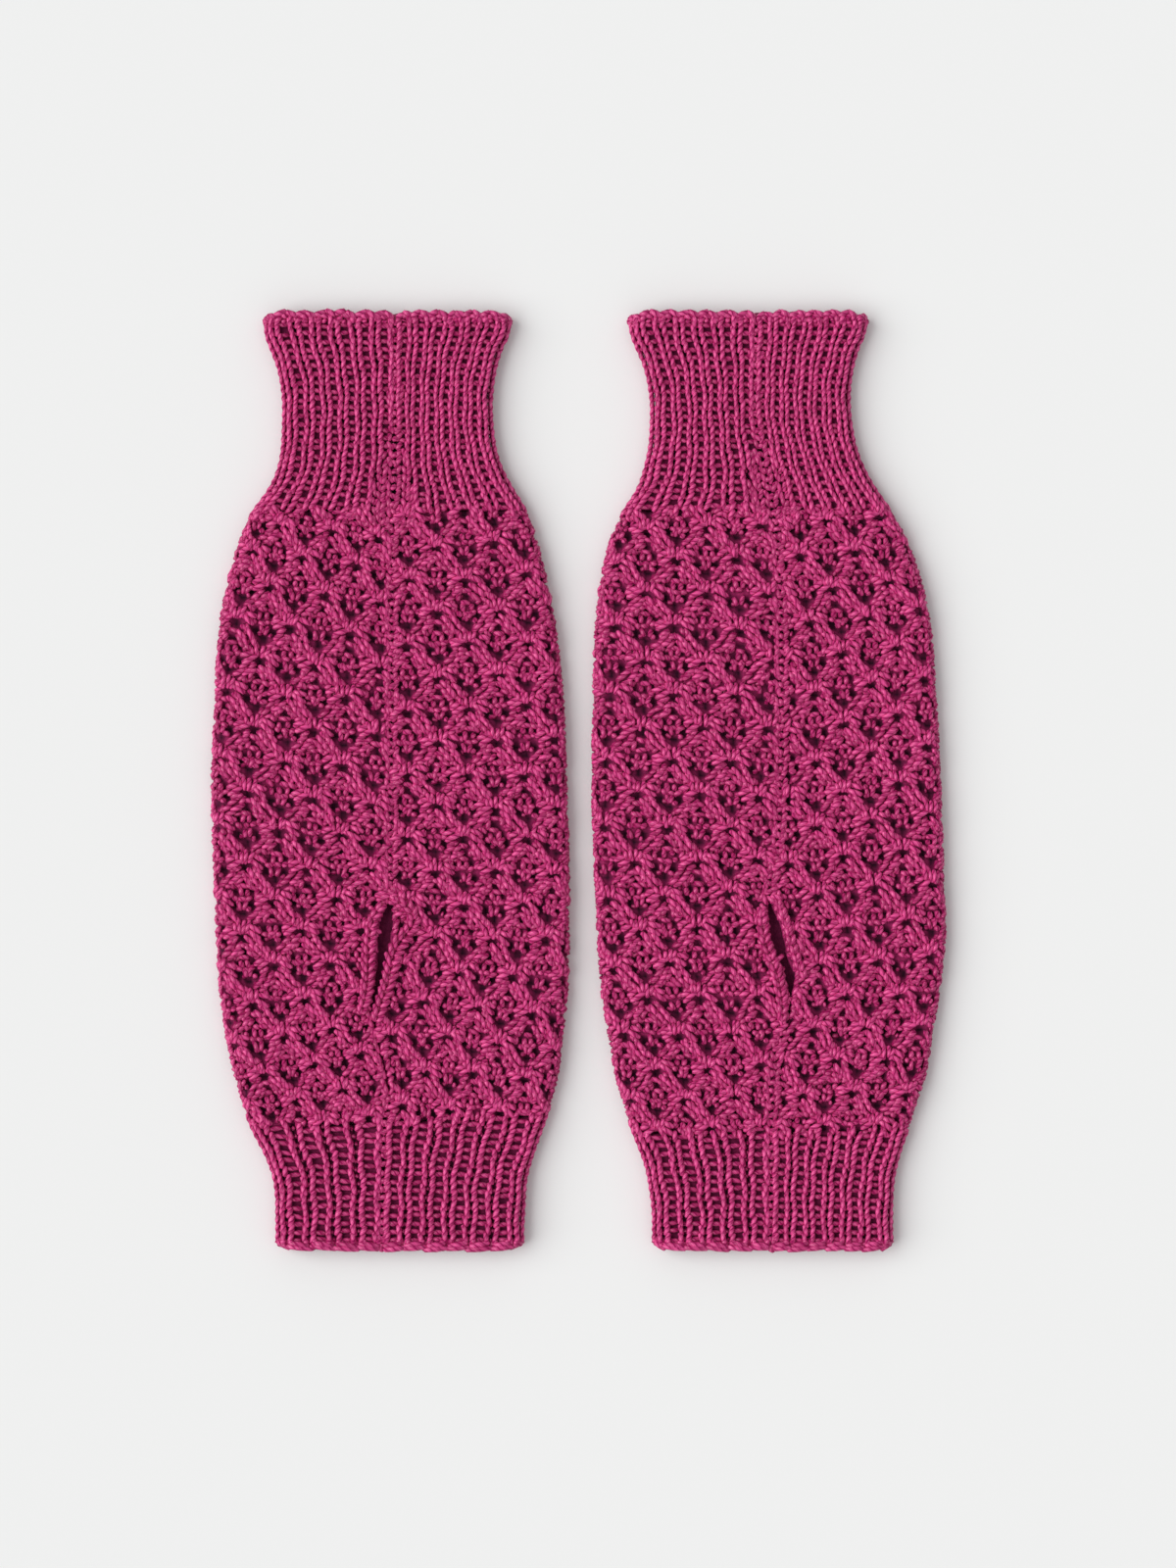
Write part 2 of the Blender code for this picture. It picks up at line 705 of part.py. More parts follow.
build(
    Warmer(
        "left", LEFT_OUTLINE, LEFT_SEAM, (LEFT_OUTER_CHART, LEFT_INNER_CHART),
        (0, 0), (9, 9), (-88.5, -87.2, -85.5),
    ),
    LEFT_SLIT_BAND, LEFT_SLIT_LIP,
)
build(
    Warmer(
        "right", RIGHT_OUTLINE, RIGHT_SEAM, (RIGHT_INNER_CHART, RIGHT_OUTER_CHART),
        (0, 1), (10, 10), (-89.8, -90.5, -89.8),
    ),
    RIGHT_SLIT_BAND, RIGHT_SLIT_LIP,
)
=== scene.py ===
import math

import bpy
import numpy as np
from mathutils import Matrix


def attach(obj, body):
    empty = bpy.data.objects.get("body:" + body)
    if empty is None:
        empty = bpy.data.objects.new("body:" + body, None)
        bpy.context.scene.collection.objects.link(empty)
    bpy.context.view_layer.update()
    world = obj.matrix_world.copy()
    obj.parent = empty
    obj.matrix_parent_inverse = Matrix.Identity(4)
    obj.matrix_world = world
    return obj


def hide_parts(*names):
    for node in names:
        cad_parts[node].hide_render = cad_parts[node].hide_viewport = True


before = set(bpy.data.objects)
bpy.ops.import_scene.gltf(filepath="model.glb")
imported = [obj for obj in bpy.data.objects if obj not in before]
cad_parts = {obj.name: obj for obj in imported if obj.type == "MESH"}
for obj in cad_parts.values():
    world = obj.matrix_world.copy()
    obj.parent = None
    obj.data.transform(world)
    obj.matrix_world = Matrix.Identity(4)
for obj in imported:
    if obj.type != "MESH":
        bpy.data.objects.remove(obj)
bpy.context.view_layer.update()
print("frame loaded")

metres = 0.001
body = "root"
chance = np.random.default_rng(11)  # one seeded source for all unevenness

# The cloth as the solids have it
form = {
    "foldRadius": 2.6,  # outer radius of the folded sides
    "top": 5.2,  # height of the upper layer's furrows
    "wristEdgeY": 116.6,
    "handTopY": 68.8,
    "knuckleEdgeY": -117.6,
    "wristEndY": 119.6,
    "knuckleEndY": -119.6,
    "wristLoopsY": 119.4,  # where the edge loops end
    "knuckleLoopsY": -119.5,
    "partGap": 0.3,  # between two parts of a warmer
}

# outline: y, left side, right side. seam: y, the two panel edges that meet.
# charts: half row, y, first star column, star pitch, climb per column.
warmers = {
    "left": {
        "outline": [
            (-120.0, -77.1, -14.1), (-110.0, -77.1, -13.8), (-101.0, -77.9, -13.1),
            (-94.8, -80.3, -11.3), (-88.5, -83.6, -9.0), (-76.0, -87.9, -5.1),
            (-63.5, -90.6, -3.4), (-51.0, -92.1, -2.3), (-26.0, -93.3, -2.0),
            (-1.0, -94.0, -2.6), (18.0, -93.3, -3.3), (36.5, -92.4, -5.1),
            (49.0, -90.2, -7.3), (61.5, -86.7, -10.3), (67.8, -83.6, -12.8),
            (74.0, -79.0, -16.6), (80.3, -76.4, -19.9), (86.5, -75.6, -21.4),
            (92.8, -75.4, -22.0), (99.0, -75.6, -21.9), (105.3, -76.8, -20.9),
            (111.5, -79.2, -18.9), (115.0, -80.2, -17.2), (120.0, -79.9, -17.5),
        ],
        "seam": [
            (-120.0, -50.3, -50.0), (-88.5, -49.5, -49.2), (-80.0, -48.4, -48.1),
            (-71.0, -50.0, -49.7), (-62.5, -52.1, -51.8), (-58.3, -53.0, -50.9),
            (-52.5, -52.0, -49.6), (-46.8, -51.4, -48.4), (-40.0, -50.9, -47.6),
            (-34.0, -50.2, -47.2), (-30.0, -48.3, -48.0), (-20.0, -48.0, -47.7),
            (49.0, -47.6, -47.3), (69.0, -47.3, -47.0), (94.0, -46.8, -46.5),
            (120.0, -46.8, -46.5),
        ],
        "leftChart": [
            (-2, 79.4, -50.5, 6.0, 1.0), (0, 62.8, -50.5, 6.2, 1.0),
            (1, 55.0, -50.5, 6.4, 1.0), (4, 30.3, -50.9, 7.6, 0.6),
            (7, 4.3, -51.5, 7.9, 0.6), (10, -20.8, -52.8, 7.95, 0.3),
            (13, -44.5, -55.6, 7.3, -0.5), (16, -68.3, -55.4, 6.2, -1.2),
            (18, -84.0, -53.0, 6.1, -1.2), (20, -100.0, -53.0, 6.0, -1.2),
        ],
        "rightChart": [
            (-2, 85.4, -43.4, 7.2, 0.5), (0, 69.0, -43.4, 7.2, 0.5),
            (1, 60.8, -43.4, 7.25, 0.5), (4, 35.6, -42.8, 7.45, 0.3),
            (7, 11.0, -43.4, 7.55, 0.2), (10, -13.5, -43.9, 7.65, 0.0),
            (13, -37.5, -43.2, 7.1, -0.4), (16, -63.0, -47.2, 6.9, -0.6),
            (18, -80.8, -45.0, 6.2, -0.5), (20, -98.6, -45.0, 6.2, -0.5),
        ],
        "lowBoundary": (-88.5, -87.2, -85.5),  # left side, seam, right side
        "wristRepeats": {-1: 6, 1: 6},  # ribs from the seam to a side
        "knuckleRepeats": {-1: 4, 1: 6},
        "openSeam": (-81.0, -61.5),  # where the seam below the slit gapes
        "allRound": 24,  # star columns round the whole tube
    },
    "right": {
        "outline": [
            (-120.0, 18.9, 80.1), (-110.0, 18.8, 80.0), (-101.0, 17.6, 80.6),
            (-94.8, 15.8, 82.1), (-88.5, 13.2, 84.4), (-76.0, 9.2, 88.7),
            (-63.5, 6.9, 90.9), (-51.0, 5.1, 92.9), (-38.5, 4.3, 94.0),
            (-26.0, 3.7, 93.6), (-1.0, 2.9, 92.8), (18.0, 3.2, 91.8),
            (36.5, 3.8, 90.5), (49.0, 4.9, 88.3), (61.5, 7.7, 83.9),
            (67.8, 10.9, 80.3), (74.0, 14.9, 75.9), (80.3, 17.0, 72.4),
            (86.5, 18.1, 70.4), (92.8, 18.4, 69.4), (99.0, 18.1, 69.2),
            (105.3, 16.7, 70.1), (111.5, 14.1, 71.9), (115.0, 12.9, 73.6),
            (120.0, 12.8, 73.4),
        ],
        "seam": [
            (-120.0, 48.9, 49.2), (-88.5, 49.0, 49.3), (-70.0, 49.9, 50.2),
            (-62.5, 53.0, 53.3), (-55.3, 53.7, 54.0), (-51.5, 53.1, 54.9),
            (-48.0, 52.1, 54.4), (-44.3, 50.4, 53.2), (-40.8, 49.1, 52.4),
            (-36.5, 48.5, 51.2), (-29.0, 48.3, 48.6), (-16.0, 50.6, 50.9),
            (24.0, 51.6, 51.9), (49.0, 51.2, 51.5), (69.0, 49.5, 49.8),
            (95.0, 44.8, 45.1), (120.0, 45.2, 45.5),
        ],
        "leftChart": [
            (-2, 82.9, 47.0, 7.2, -0.2), (0, 66.3, 47.0, 7.2, -0.2),
            (1, 58.0, 47.4, 7.4, -0.2), (4, 32.0, 49.2, 8.1, 0.0),
            (7, 6.0, 47.5, 8.0, 0.1), (10, -19.0, 45.8, 7.75, 0.0),
            (13, -44.3, 45.1, 7.25, -0.3), (16, -70.8, 46.9, 6.9, -0.25),
            (18, -86.8, 46.6, 6.5, -0.25), (20, -103.0, 46.6, 6.5, -0.25),
        ],
        "rightChart": [
            (-2, 82.5, 49.8, 6.8, 0.5), (0, 66.5, 49.8, 6.8, 0.5),
            (1, 58.5, 49.8, 6.9, 0.5), (4, 32.0, 53.1, 7.0, 0.9),
            (7, 5.8, 53.0, 7.25, 0.9), (10, -19.8, 53.4, 7.25, 0.9),
            (13, -45.3, 54.9, 7.1, 0.4), (16, -70.8, 51.6, 6.9, 0.25),
            (18, -86.5, 49.6, 6.6, 0.0), (20, -102.5, 49.6, 6.6, 0.0),
        ],
        "lowBoundary": (-89.8, -90.5, -89.8),
        "wristRepeats": {-1: 6, 1: 6},
        "knuckleRepeats": {-1: 5, 1: 6},
        "openSeam": (-64.0, -58.0),
        "allRound": 24,
    },
}


def smoothCurve(rows, column):
    # A smooth line through one column of a table, with no overshoot
    keys = np.array([row[0] for row in rows], dtype=float)
    values = np.array([row[column] for row in rows], dtype=float)
    steps = np.diff(values)
    slopes = np.zeros(len(keys))
    across = (values[2:] - values[:-2]) / (keys[2:] - keys[:-2])
    slopes[1:-1] = np.where(steps[:-1] * steps[1:] > 0, across, 0)
    slopes[0] = steps[0] / (keys[1] - keys[0])
    slopes[-1] = steps[-1] / (keys[-1] - keys[-2])
    where = np.linspace(keys[0], keys[-1], 600)
    i = np.clip(np.searchsorted(keys, where, side="right") - 1, 0, len(keys) - 2)
    span = keys[i + 1] - keys[i]
    t = (where - keys[i]) / span
    line = (
        (2 * t**3 - 3 * t**2 + 1) * values[i] + (t**3 - 2 * t**2 + t) * span * slopes[i]
        + (3 * t**2 - 2 * t**3) * values[i + 1] + (t**3 - t**2) * span * slopes[i + 1]
    )
    return lambda at: np.interp(at, where, line)


for side, warmer in warmers.items():
    warmer["name"] = side
    warmer["sideAt"] = {-1: smoothCurve(warmer["outline"], 1), 1: smoothCurve(warmer["outline"], 2)}
    warmer["edgeAt"] = {-1: smoothCurve(warmer["seam"], 1), 1: smoothCurve(warmer["seam"], 2)}
    warmer["chartAt"] = {
        half: [smoothCurve(warmer[chart], column) for column in (1, 2, 3, 4)]
        for half, chart in ((-1, "leftChart"), (1, "rightChart"))
    }


def foldX(warmer, half, y):
    # Where the upper layer starts to turn under, on one side
    return warmer["sideAt"][half](y) - half * form["foldRadius"]


halfTurn = math.pi * form["foldRadius"]  # of cloth, from the upper layer to the lower

settling = {
    "underDepth": 0.62,  # yarn axis above the floor on the underside
    "underRelief": 0.15,  # share of the relief left there
    "sideSink": 0.5,  # the yarn sits this much lower at the widest point
}


def onCloth(warmer, half, past, under, y, height):
    # past: distance round the tube from the start of the fold, below 0 on top.
    # under: share of the way across the underside. height: off the furrows.
    fold = foldX(warmer, half, y)
    turn = np.clip(past / form["foldRadius"], 0, math.pi)
    settled = np.clip(2 * turn / math.pi - 1, 0, 1)
    low = -settling["underDepth"] + settling["underRelief"] * height
    height = height * (1 - settled) + low * settled - settling["sideSink"] * np.sin(turn)
    radius = form["foldRadius"] + height
    x = fold + half * (np.minimum(past, 0) + radius * np.sin(turn))
    x = np.where(under > 0, fold + (foldX(warmer, -half, y) - fold) * under, x)
    z = form["foldRadius"] + radius * np.cos(turn)
    normal = np.stack([half * np.sin(turn), np.zeros_like(turn), np.cos(turn)], axis=-1)
    return np.stack([x, y, z], axis=-1), normal


# Legs of yarn: rings along the leg as (place, size), and how many sides round
legShapes = {
    "fine": {"rings": ((0.1, 0.8), (0.5, 1.0), (0.9, 0.8)), "sides": 6},
    "plain": {"rings": ((0.22, 0.85), (0.78, 0.85)), "sides": 4},
}


def legFaces(rings, sides):
    # Corner lists and their (round, along) places for one closed leg
    tip, end = 0, 1 + rings * sides
    faces, places = [], []
    for k in range(sides):
        nxt = (k + 1) % sides
        faces.append((tip, 1 + nxt, 1 + k))
        places.append(((k + 0.5, 0), (k + 1, 1), (k, 1)))
        for r in range(rings - 1):
            low, high = 1 + r * sides, 1 + (r + 1) * sides
            faces.append((low + k, low + nxt, high + nxt, high + k))
            places.append(((k, r + 1), (k + 1, r + 1), (k + 1, r + 2), (k, r + 2)))
        last = 1 + (rings - 1) * sides
        faces.append((end, last + k, last + nxt))
        places.append(((k + 0.5, rings + 1), (k, rings), (k + 1, rings)))
    return faces, places


def legMesh(name, legs, shape, material):
    # One mesh of many closed legs, each from a to b, arched away from the cloth
    a, b, normal = (np.concatenate([leg[key] for leg in legs]) for key in ("a", "b", "normal"))
    width, thick, arch, shade = (
        np.concatenate([leg[key] for leg in legs]) for key in ("width", "thick", "arch", "toneAndShade")
    )
    count = len(a)
    rings, sides = legShapes[shape]["rings"], legShapes[shape]["sides"]
    along = b - a
    length = np.linalg.norm(along, axis=1, keepdims=True)
    along = along / length
    across = np.cross(along, normal)
    across /= np.linalg.norm(across, axis=1, keepdims=True)
    up = np.cross(across, along)
    middle = (a + b) / 2 + normal * (2 * arch)[:, None]
    points = [a[:, None, :]]
    angles = np.arange(sides) / sides * 2 * math.pi
    for place, size in rings:
        centre = (1 - place) ** 2 * a + 2 * place * (1 - place) * middle + place**2 * b
        ring = (
            centre[:, None, :]
            + across[:, None, :] * (width[:, None] / 2 * size * np.cos(angles))[:, :, None]
            + up[:, None, :] * (thick[:, None] / 2 * size * np.sin(angles))[:, :, None]
        )
        points.append(ring)
    points.append(b[:, None, :])
    points = np.concatenate(points, axis=1)
    points[:, :, 2] = np.maximum(points[:, :, 2], 0.0)  # the underside rests flat
    perLeg = points.shape[1]

    faces, places = legFaces(len(rings), sides)
    corners = np.array([c for face in faces for c in face])
    sizes = np.array([len(face) for face in faces])
    starts = np.concatenate([[0], np.cumsum(sizes)[:-1]])
    perLoop = len(corners)
    data = bpy.data.meshes.new(name)
    data.vertices.add(count * perLeg)
    data.loops.add(count * perLoop)
    data.polygons.add(count * len(faces))
    data.vertices.foreach_set("co", (points * metres).ravel())
    offsets = (np.arange(count) * perLeg)[:, None]
    data.loops.foreach_set("vertex_index", (corners[None, :] + offsets).ravel())
    firsts = starts[None, :] + (np.arange(count) * perLoop)[:, None]
    data.polygons.foreach_set("loop_start", firsts.ravel())
    data.update(calc_edges=True)
    data.polygons.foreach_set("use_smooth", np.ones(count * len(faces), dtype=bool))
    # the map runs round the leg in u and along it, in millimetres, in v
    stops = np.array([0.0] + [place for place, size in rings] + [1.0])
    flat = np.array([spot for face in places for spot in face], dtype=float)
    u = np.broadcast_to(flat[:, 0] / sides, (count, perLoop))
    shift = chance.uniform(0, 5, count)[:, None]
    v = stops[flat[:, 1].astype(int)][None, :] * length + shift
    yarnMap = data.uv_layers.new(name="yarnMap")
    yarnMap.data.foreach_set("uv", np.stack([u, v], axis=-1).ravel())
    # painted light and shade by the kind and place of each leg, plus tone that differs at random
    toneAndShade = data.attributes.new("toneAndShade", "FLOAT", "POINT")
    shade = shade + chance.uniform(-0.28, 0.28, count)
    toneAndShade.data.foreach_set("value", np.repeat(np.clip(shade, 0, 1), perLeg))
    # painted shade: each leg darker down its sides and at its tips, where its neighbours shade it
    crown = [0.35] + [0.5 + 0.5 * value for place, size in rings for value in np.sin(angles)] + [0.35]
    side = data.attributes.new("crown", "FLOAT", "POINT")
    side.data.foreach_set("value", np.tile(crown, count))
    data.materials.append(material)
    data.validate()
    piece = bpy.data.objects.new(name, data)
    bpy.context.scene.collection.objects.link(piece)
    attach(piece, body)
    print(name, count, "legs,", len(data.loops) - 2 * len(data.polygons), "triangles")
    return piece


def legs(a, b, normal, width, thick, arch, toneAndShade=0.5):
    # the last argument: how light the yarn is, from 0 to 1: painted light and shade by the kind of leg and
    # where it lies, to which legMesh adds tone that differs at random
    made = {"a": a, "b": b, "normal": normal}
    for key, value in (("width", width), ("thick", thick), ("arch", arch), ("toneAndShade", toneAndShade)):
        made[key] = np.broadcast_to(np.asarray(value, dtype=float), (len(a),)).copy()
    return made


def pick(leg, keep):
    return {key: value[keep] for key, value in leg.items()}


def hexColour(code):
    # sRGB hex to linear
    values = [int(code[i:i + 2], 16) / 255 for i in (0, 2, 4)]
    return tuple(v / 12.92 if v <= 0.04045 else ((v + 0.055) / 1.055) ** 2.4 for v in values) + (1.0,)


def addNode(tree, kind, settings=(), inputs=()):
    # One node with its settings, and values or links on its inputs
    node = tree.nodes.new(kind)
    for key, value in dict(settings).items():
        setattr(node, key, value)
    for key, value in dict(inputs).items():
        if isinstance(value, bpy.types.NodeSocket):
            tree.links.new(value, node.inputs[key])
        else:
            node.inputs[key].default_value = value
    return node


def addMath(tree, operation, *values):
    node = addNode(tree, "ShaderNodeMath", {"operation": operation}, enumerate(values))
    return node.outputs[0]


def mapRange(tree, value, low, high, least=0.0, most=1.0, easing="LINEAR"):
    node = addNode(
        tree, "ShaderNodeMapRange", {"interpolation_type": easing},
        enumerate((value, low, high, least, most)),
    )
    return node.outputs[0]


def mixColours(tree, share, first, second):
    # The first colour at 0, the second at 1
    node = addNode(tree, "ShaderNodeMix", {"data_type": "RGBA"}, {0: share, 6: first, 7: second})
    return node.outputs[2]


def newMaterial(name):
    material = bpy.data.materials.new(name)
    material.use_nodes = True
    tree = material.node_tree
    return material, tree, tree.nodes["Principled BSDF"]


yarn = {
    # lit and deep are lit and shaded copies of the yarn's colour: painted light and shade, mixed by each
    # leg's tone
    "lit": "f24a98",
    "deep": "b01c62",
    "furrowShade": "8c0e4c",  # painted shade between the plies, also used for the shaded fibres
    "glint": "ff94c0",  # on the fibres that catch the light
    "side": "8c0e4a",  # low on a leg, where its neighbours shade it
    "sideAt": 0.15,
    "crownAt": 0.72,
    "plies": 2,
    "plyLay": 2.2,  # mm along the yarn for one turn of a ply
    "furrowTo": 0.26,  # of a ply's width, where its furrow ends
    "fibres": 4.0,  # streaks of fibre in a ply
    "fibreLength": 1.5,  # mm
    "fibreMiddle": 0.56,  # of the fibre noise: below it shaded, above it catching light
    "fibreRelief": 1.2,  # against the plies' own
    "relief": 0.00012,  # m, of the bump
}


def plyYarn():
    # Worsted wool of two plies: a dull gloss and fibre streaks on each ply, with painted shade between the
    # plies, on shaded fibres and down each leg's sides, painted highlights on the fibres that catch the
    # light, and lit and shaded copies of its colour
    material, tree, shader = newMaterial("plyYarn")
    uv = addNode(tree, "ShaderNodeUVMap", {"uv_map": "yarnMap"})
    split = addNode(tree, "ShaderNodeSeparateXYZ", (), {0: uv.outputs[0]})
    aroundLeg, alongLeg = split.outputs[0], split.outputs[1]
    turn = addMath(
        tree, "MULTIPLY_ADD", aroundLeg, yarn["plies"],
        addMath(tree, "DIVIDE", alongLeg, yarn["plyLay"]),
    )
    ply = mapRange(tree, addMath(tree, "PINGPONG", turn, 0.5), 0.0, yarn["furrowTo"])
    place = addNode(tree, "ShaderNodeCombineXYZ", (), {
        0: addMath(tree, "MULTIPLY", turn, yarn["fibres"]),
        1: addMath(tree, "DIVIDE", alongLeg, yarn["fibreLength"]),
    })
    fibre = addNode(
        tree, "ShaderNodeTexNoise", {"noise_dimensions": "2D"},
        {"Vector": place.outputs[0], "Scale": 1.0, "Detail": 2.0},
    ).outputs[0]
    shaded = mapRange(tree, fibre, yarn["fibreMiddle"], 0.3, 0.0, 0.75)
    caught = mapRange(tree, fibre, yarn["fibreMiddle"], 0.76, 0.0, 0.7)
    toneAndShade = addNode(tree, "ShaderNodeAttribute", {"attribute_name": "toneAndShade"})
    furrowShade = hexColour(yarn["furrowShade"])
    # painted light and shade: each leg runs from the shaded copy to the lit one with its tone
    body = mixColours(tree, toneAndShade.outputs["Fac"], hexColour(yarn["deep"]), hexColour(yarn["lit"]))
    streaked = mixColours(tree, shaded, body, furrowShade)
    glinting = mixColours(tree, caught, streaked, hexColour(yarn["glint"]))
    plied = mixColours(tree, ply, furrowShade, glinting)
    # painted shade down the sides of each leg, from its crown attribute
    crown = addNode(tree, "ShaderNodeAttribute", {"attribute_name": "crown"})
    ridge = mapRange(
        tree, crown.outputs["Fac"], yarn["sideAt"], yarn["crownAt"], easing="SMOOTHSTEP"
    )
    rounded = mixColours(tree, ridge, hexColour(yarn["side"]), plied)
    tree.links.new(rounded, shader.inputs["Base Color"])
    relief = addMath(tree, "MULTIPLY_ADD", fibre, yarn["fibreRelief"], ply)
    bump = addNode(
        tree, "ShaderNodeBump", (), {"Strength": 0.45, "Distance": yarn["relief"], "Height": relief}
    )
    tree.links.new(bump.outputs[0], shader.inputs["Normal"])
    shader.inputs["Roughness"].default_value = 0.4
    # no gloss down in the furrows
    gloss = mapRange(tree, ply, 0.4, 1.0, 0.04, 0.5)
    tree.links.new(gloss, shader.inputs["Specular IOR Level"])
    shader.inputs["Sheen Weight"].default_value = 0.03
    shader.inputs["Sheen Roughness"].default_value = 0.4
    return material


# the ground's colours are darker than the yarn's as painted shade; lit and deep are lit and shaded copies,
# and the pit colour is painted shadow
ground = {"pitShade": "22041a", "deep": "7a1448", "lit": "aa2a64", "stitch": 1.3}


def shadedGroundKnit():
    # The same wool down between the raised stitches, darker than the yarn as painted shade, with painted
    # shadow at the holes and between the ribs' chains
    material, tree, shader = newMaterial("shadedGroundKnit")
    where = addNode(tree, "ShaderNodeTexCoord")
    loops = addNode(
        tree, "ShaderNodeTexVoronoi", {"feature": "F1"},
        {"Vector": where.outputs["Object"], "Scale": 1000 / ground["stitch"]},
    )
    # painted shade: each loop lighter in its middle, darker towards its edges
    mixed = mixColours(
        tree, loops.outputs["Distance"], hexColour(ground["lit"]), hexColour(ground["deep"])
    )
    # painted shadow: near black at the holes, darker between the ribs' chains, on the fold and underneath
    pitShade = addNode(tree, "ShaderNodeAttribute", {"attribute_name": "pitShade"})
    shaded = mixColours(tree, pitShade.outputs["Fac"], mixed, hexColour(ground["pitShade"]))
    tree.links.new(shaded, shader.inputs["Base Color"])
    bump = addNode(
        tree, "ShaderNodeBump", {"invert": True},
        {"Strength": 0.6, "Distance": 0.0004, "Height": loops.outputs["Distance"]},
    )
    tree.links.new(bump.outputs[0], shader.inputs["Normal"])
    shader.inputs["Roughness"].default_value = 0.85
    shader.inputs["Specular IOR Level"].default_value = 0.2
    return material


yarnMaterial = plyYarn()
shadedGroundMaterial = shadedGroundKnit()
print("materials made")


def jitter(count, spread):
    return chance.normal(0, spread, count)


def handEnd(warmer, half, share, under=0.0):
    # Where the hand meets the knuckle cuff, from the seam (0) to a side (1)
    atLeft, atSeam, atRight = warmer["lowBoundary"]
    own, other = (atLeft, atRight) if half < 0 else (atRight, atLeft)
    return (atSeam + (own - atSeam) * share) * (1 - under) + other * under


# Ribs: pairs of chains with wide rungs between them and small ones outside
ribs = {
    "sideRepeats": 2,
    "underRepeats": 12,  # from side to side
    "stitch": 2.1,
    "columns": {  # place in a repeat
        "left chain": 0.19, "right chain": 0.81, "rung": 0.5, "small rung": 0.0,
    },
    "chainWidth": (0.88, 0.1),  # plus this share of a repeat
    "chainThick": 1.4,
    "chainOverlap": 1.5,  # leg length in stitches
    "lean": 0.34,  # mm sideways, from a leg's middle to its end
    "repeatWide": 4.8,  # mm, an ordinary rib repeat
    "repeatNarrow": 4.4,  # mm, one near the seam
    "chainHeight": 0.14,
    "rungLength": 0.62,  # of a repeat
    "rungWidth": 1.4,
    "rungHeight": -0.42,
    "smallRung": 1.0,
    "smallRungHeight": -0.55,
    "wobble": 0.05,  # in rib repeats
    "wobbleLength": 11.0,
    "intoHand": 3.2,  # some chains run this far on over the hand's first stitches
}


def patchReach(y):
    # How far from the panel edge the plain patch at the seam reaches, by y
    reach = seamStitch["patchReach"] * np.clip((seamStitch["patchTop"] - y) / 20, 0, 1)
    return np.where(y > form["handTopY"] - 4, reach, 0)


def topRepeats(warmer, half, y):
    return warmer["wristRepeats" if np.ravel(y)[0] > 0 else "knuckleRepeats"][half]


def ribSpot(warmer, half, q, y):
    # q counts rib repeats from the seam, over the top, the side and the underside
    width = np.abs(foldX(warmer, half, y) - warmer["edgeAt"][half](y))
    top, side = topRepeats(warmer, half, y), ribs["sideRepeats"]
    past = np.where(q <= top, -(1 - q / top) * width, (q - top) / side * halfTurn)
    under = np.where(q > top + side, (q - top - side) / ribs["underRepeats"], 0.0)
    return past, under


def ribColumn(warmer, half, column, q, low, step):
    # One column of chain legs or rungs, at stitches that start at low
    count = len(low)
    top = topRepeats(warmer, half, low)
    wide = np.abs(foldX(warmer, half, low) - warmer["edgeAt"][half](low)) / top
    sway = q + ribs["wobble"] * np.sin(low / ribs["wobbleLength"] * 2 * math.pi + q * 2.1)
    if "rung" in column:
        small = column == "small rung"
        reach = ribs["smallRung"] / 2 / wide if small else ribs["rungLength"] / 2
        y = low + step * 0.5 + jitter(count, 0.12)
        qa, qb = sway - reach + jitter(count, 0.02), sway + reach + jitter(count, 0.02)
        ya, yb = y + jitter(count, 0.18), y + jitter(count, 0.18)
        height = ribs["smallRungHeight" if small else "rungHeight"] + jitter(count, 0.05)
        # painted shade: rungs darker than the chains, small rungs darkest, as they lie low between them
        width, thick, arch, toneAndShade = ribs["rungWidth"], 1.2, 0.3, 0.1 if small else 0.3
    else:
        lean = (-1 if column == "left chain" else 1) * ribs["lean"] / ribs["repeatWide"]
        qa, qb = sway + lean + jitter(count, 0.012), sway - lean + jitter(count, 0.012)
        ya = low + jitter(count, 0.1)
        yb = low + step * ribs["chainOverlap"] + jitter(count, 0.1)
        height, toneAndShade = ribs["chainHeight"], 0.82
        width = ribs["chainWidth"][0] + ribs["chainWidth"][1] * wide
        thick, arch = ribs["chainThick"], 0.3
    pastA, underA = ribSpot(warmer, half, qa, ya)
    pastB, underB = ribSpot(warmer, half, qb, yb)
    a, normalA = onCloth(warmer, half, pastA, underA, ya, height - 0.28)
    b, normalB = onCloth(warmer, half, pastB, underB, yb, height - 0.1)
    return legs(a, b, (normalA + normalB) / 2, width + jitter(count, 0.06), thick, arch, toneAndShade)


def ribStitches(warmer, startY, endY):
    fine, plain = [], []
    for half in (-1, 1):
        top = topRepeats(warmer, half, startY(half, 0.0))
        for repeat in range(top + ribs["sideRepeats"] + ribs["underRepeats"] // 2):
            for column, place in ribs["columns"].items():
                q = repeat + place
                if q == 0:
                    continue
                share = min(q / top, 1.0)
                under = max(q - top - ribs["sideRepeats"], 0.0) / ribs["underRepeats"]
                start, end = startY(half, share, under), endY(half, share, under)
                if start > 0:
                    start -= chance.uniform(0, 1) ** 2 * ribs["intoHand"]
                else:
                    end += chance.uniform(0, 1) ** 2 * ribs["intoHand"]
                count = int(round(abs(end - start) / ribs["stitch"]))
                step = (end - start) / count
                low = start + step * np.arange(count)
                low = low[q * ribs["repeatNarrow"] > patchReach(low) - seamStitch["patchInset"]]
                onTop = repeat < top + 1
                if onTop or column != "small rung":
                    made = ribColumn(warmer, half, column, q, low, step)
                    (fine if onTop and column != "small rung" else plain).append(made)
    return fine, plain


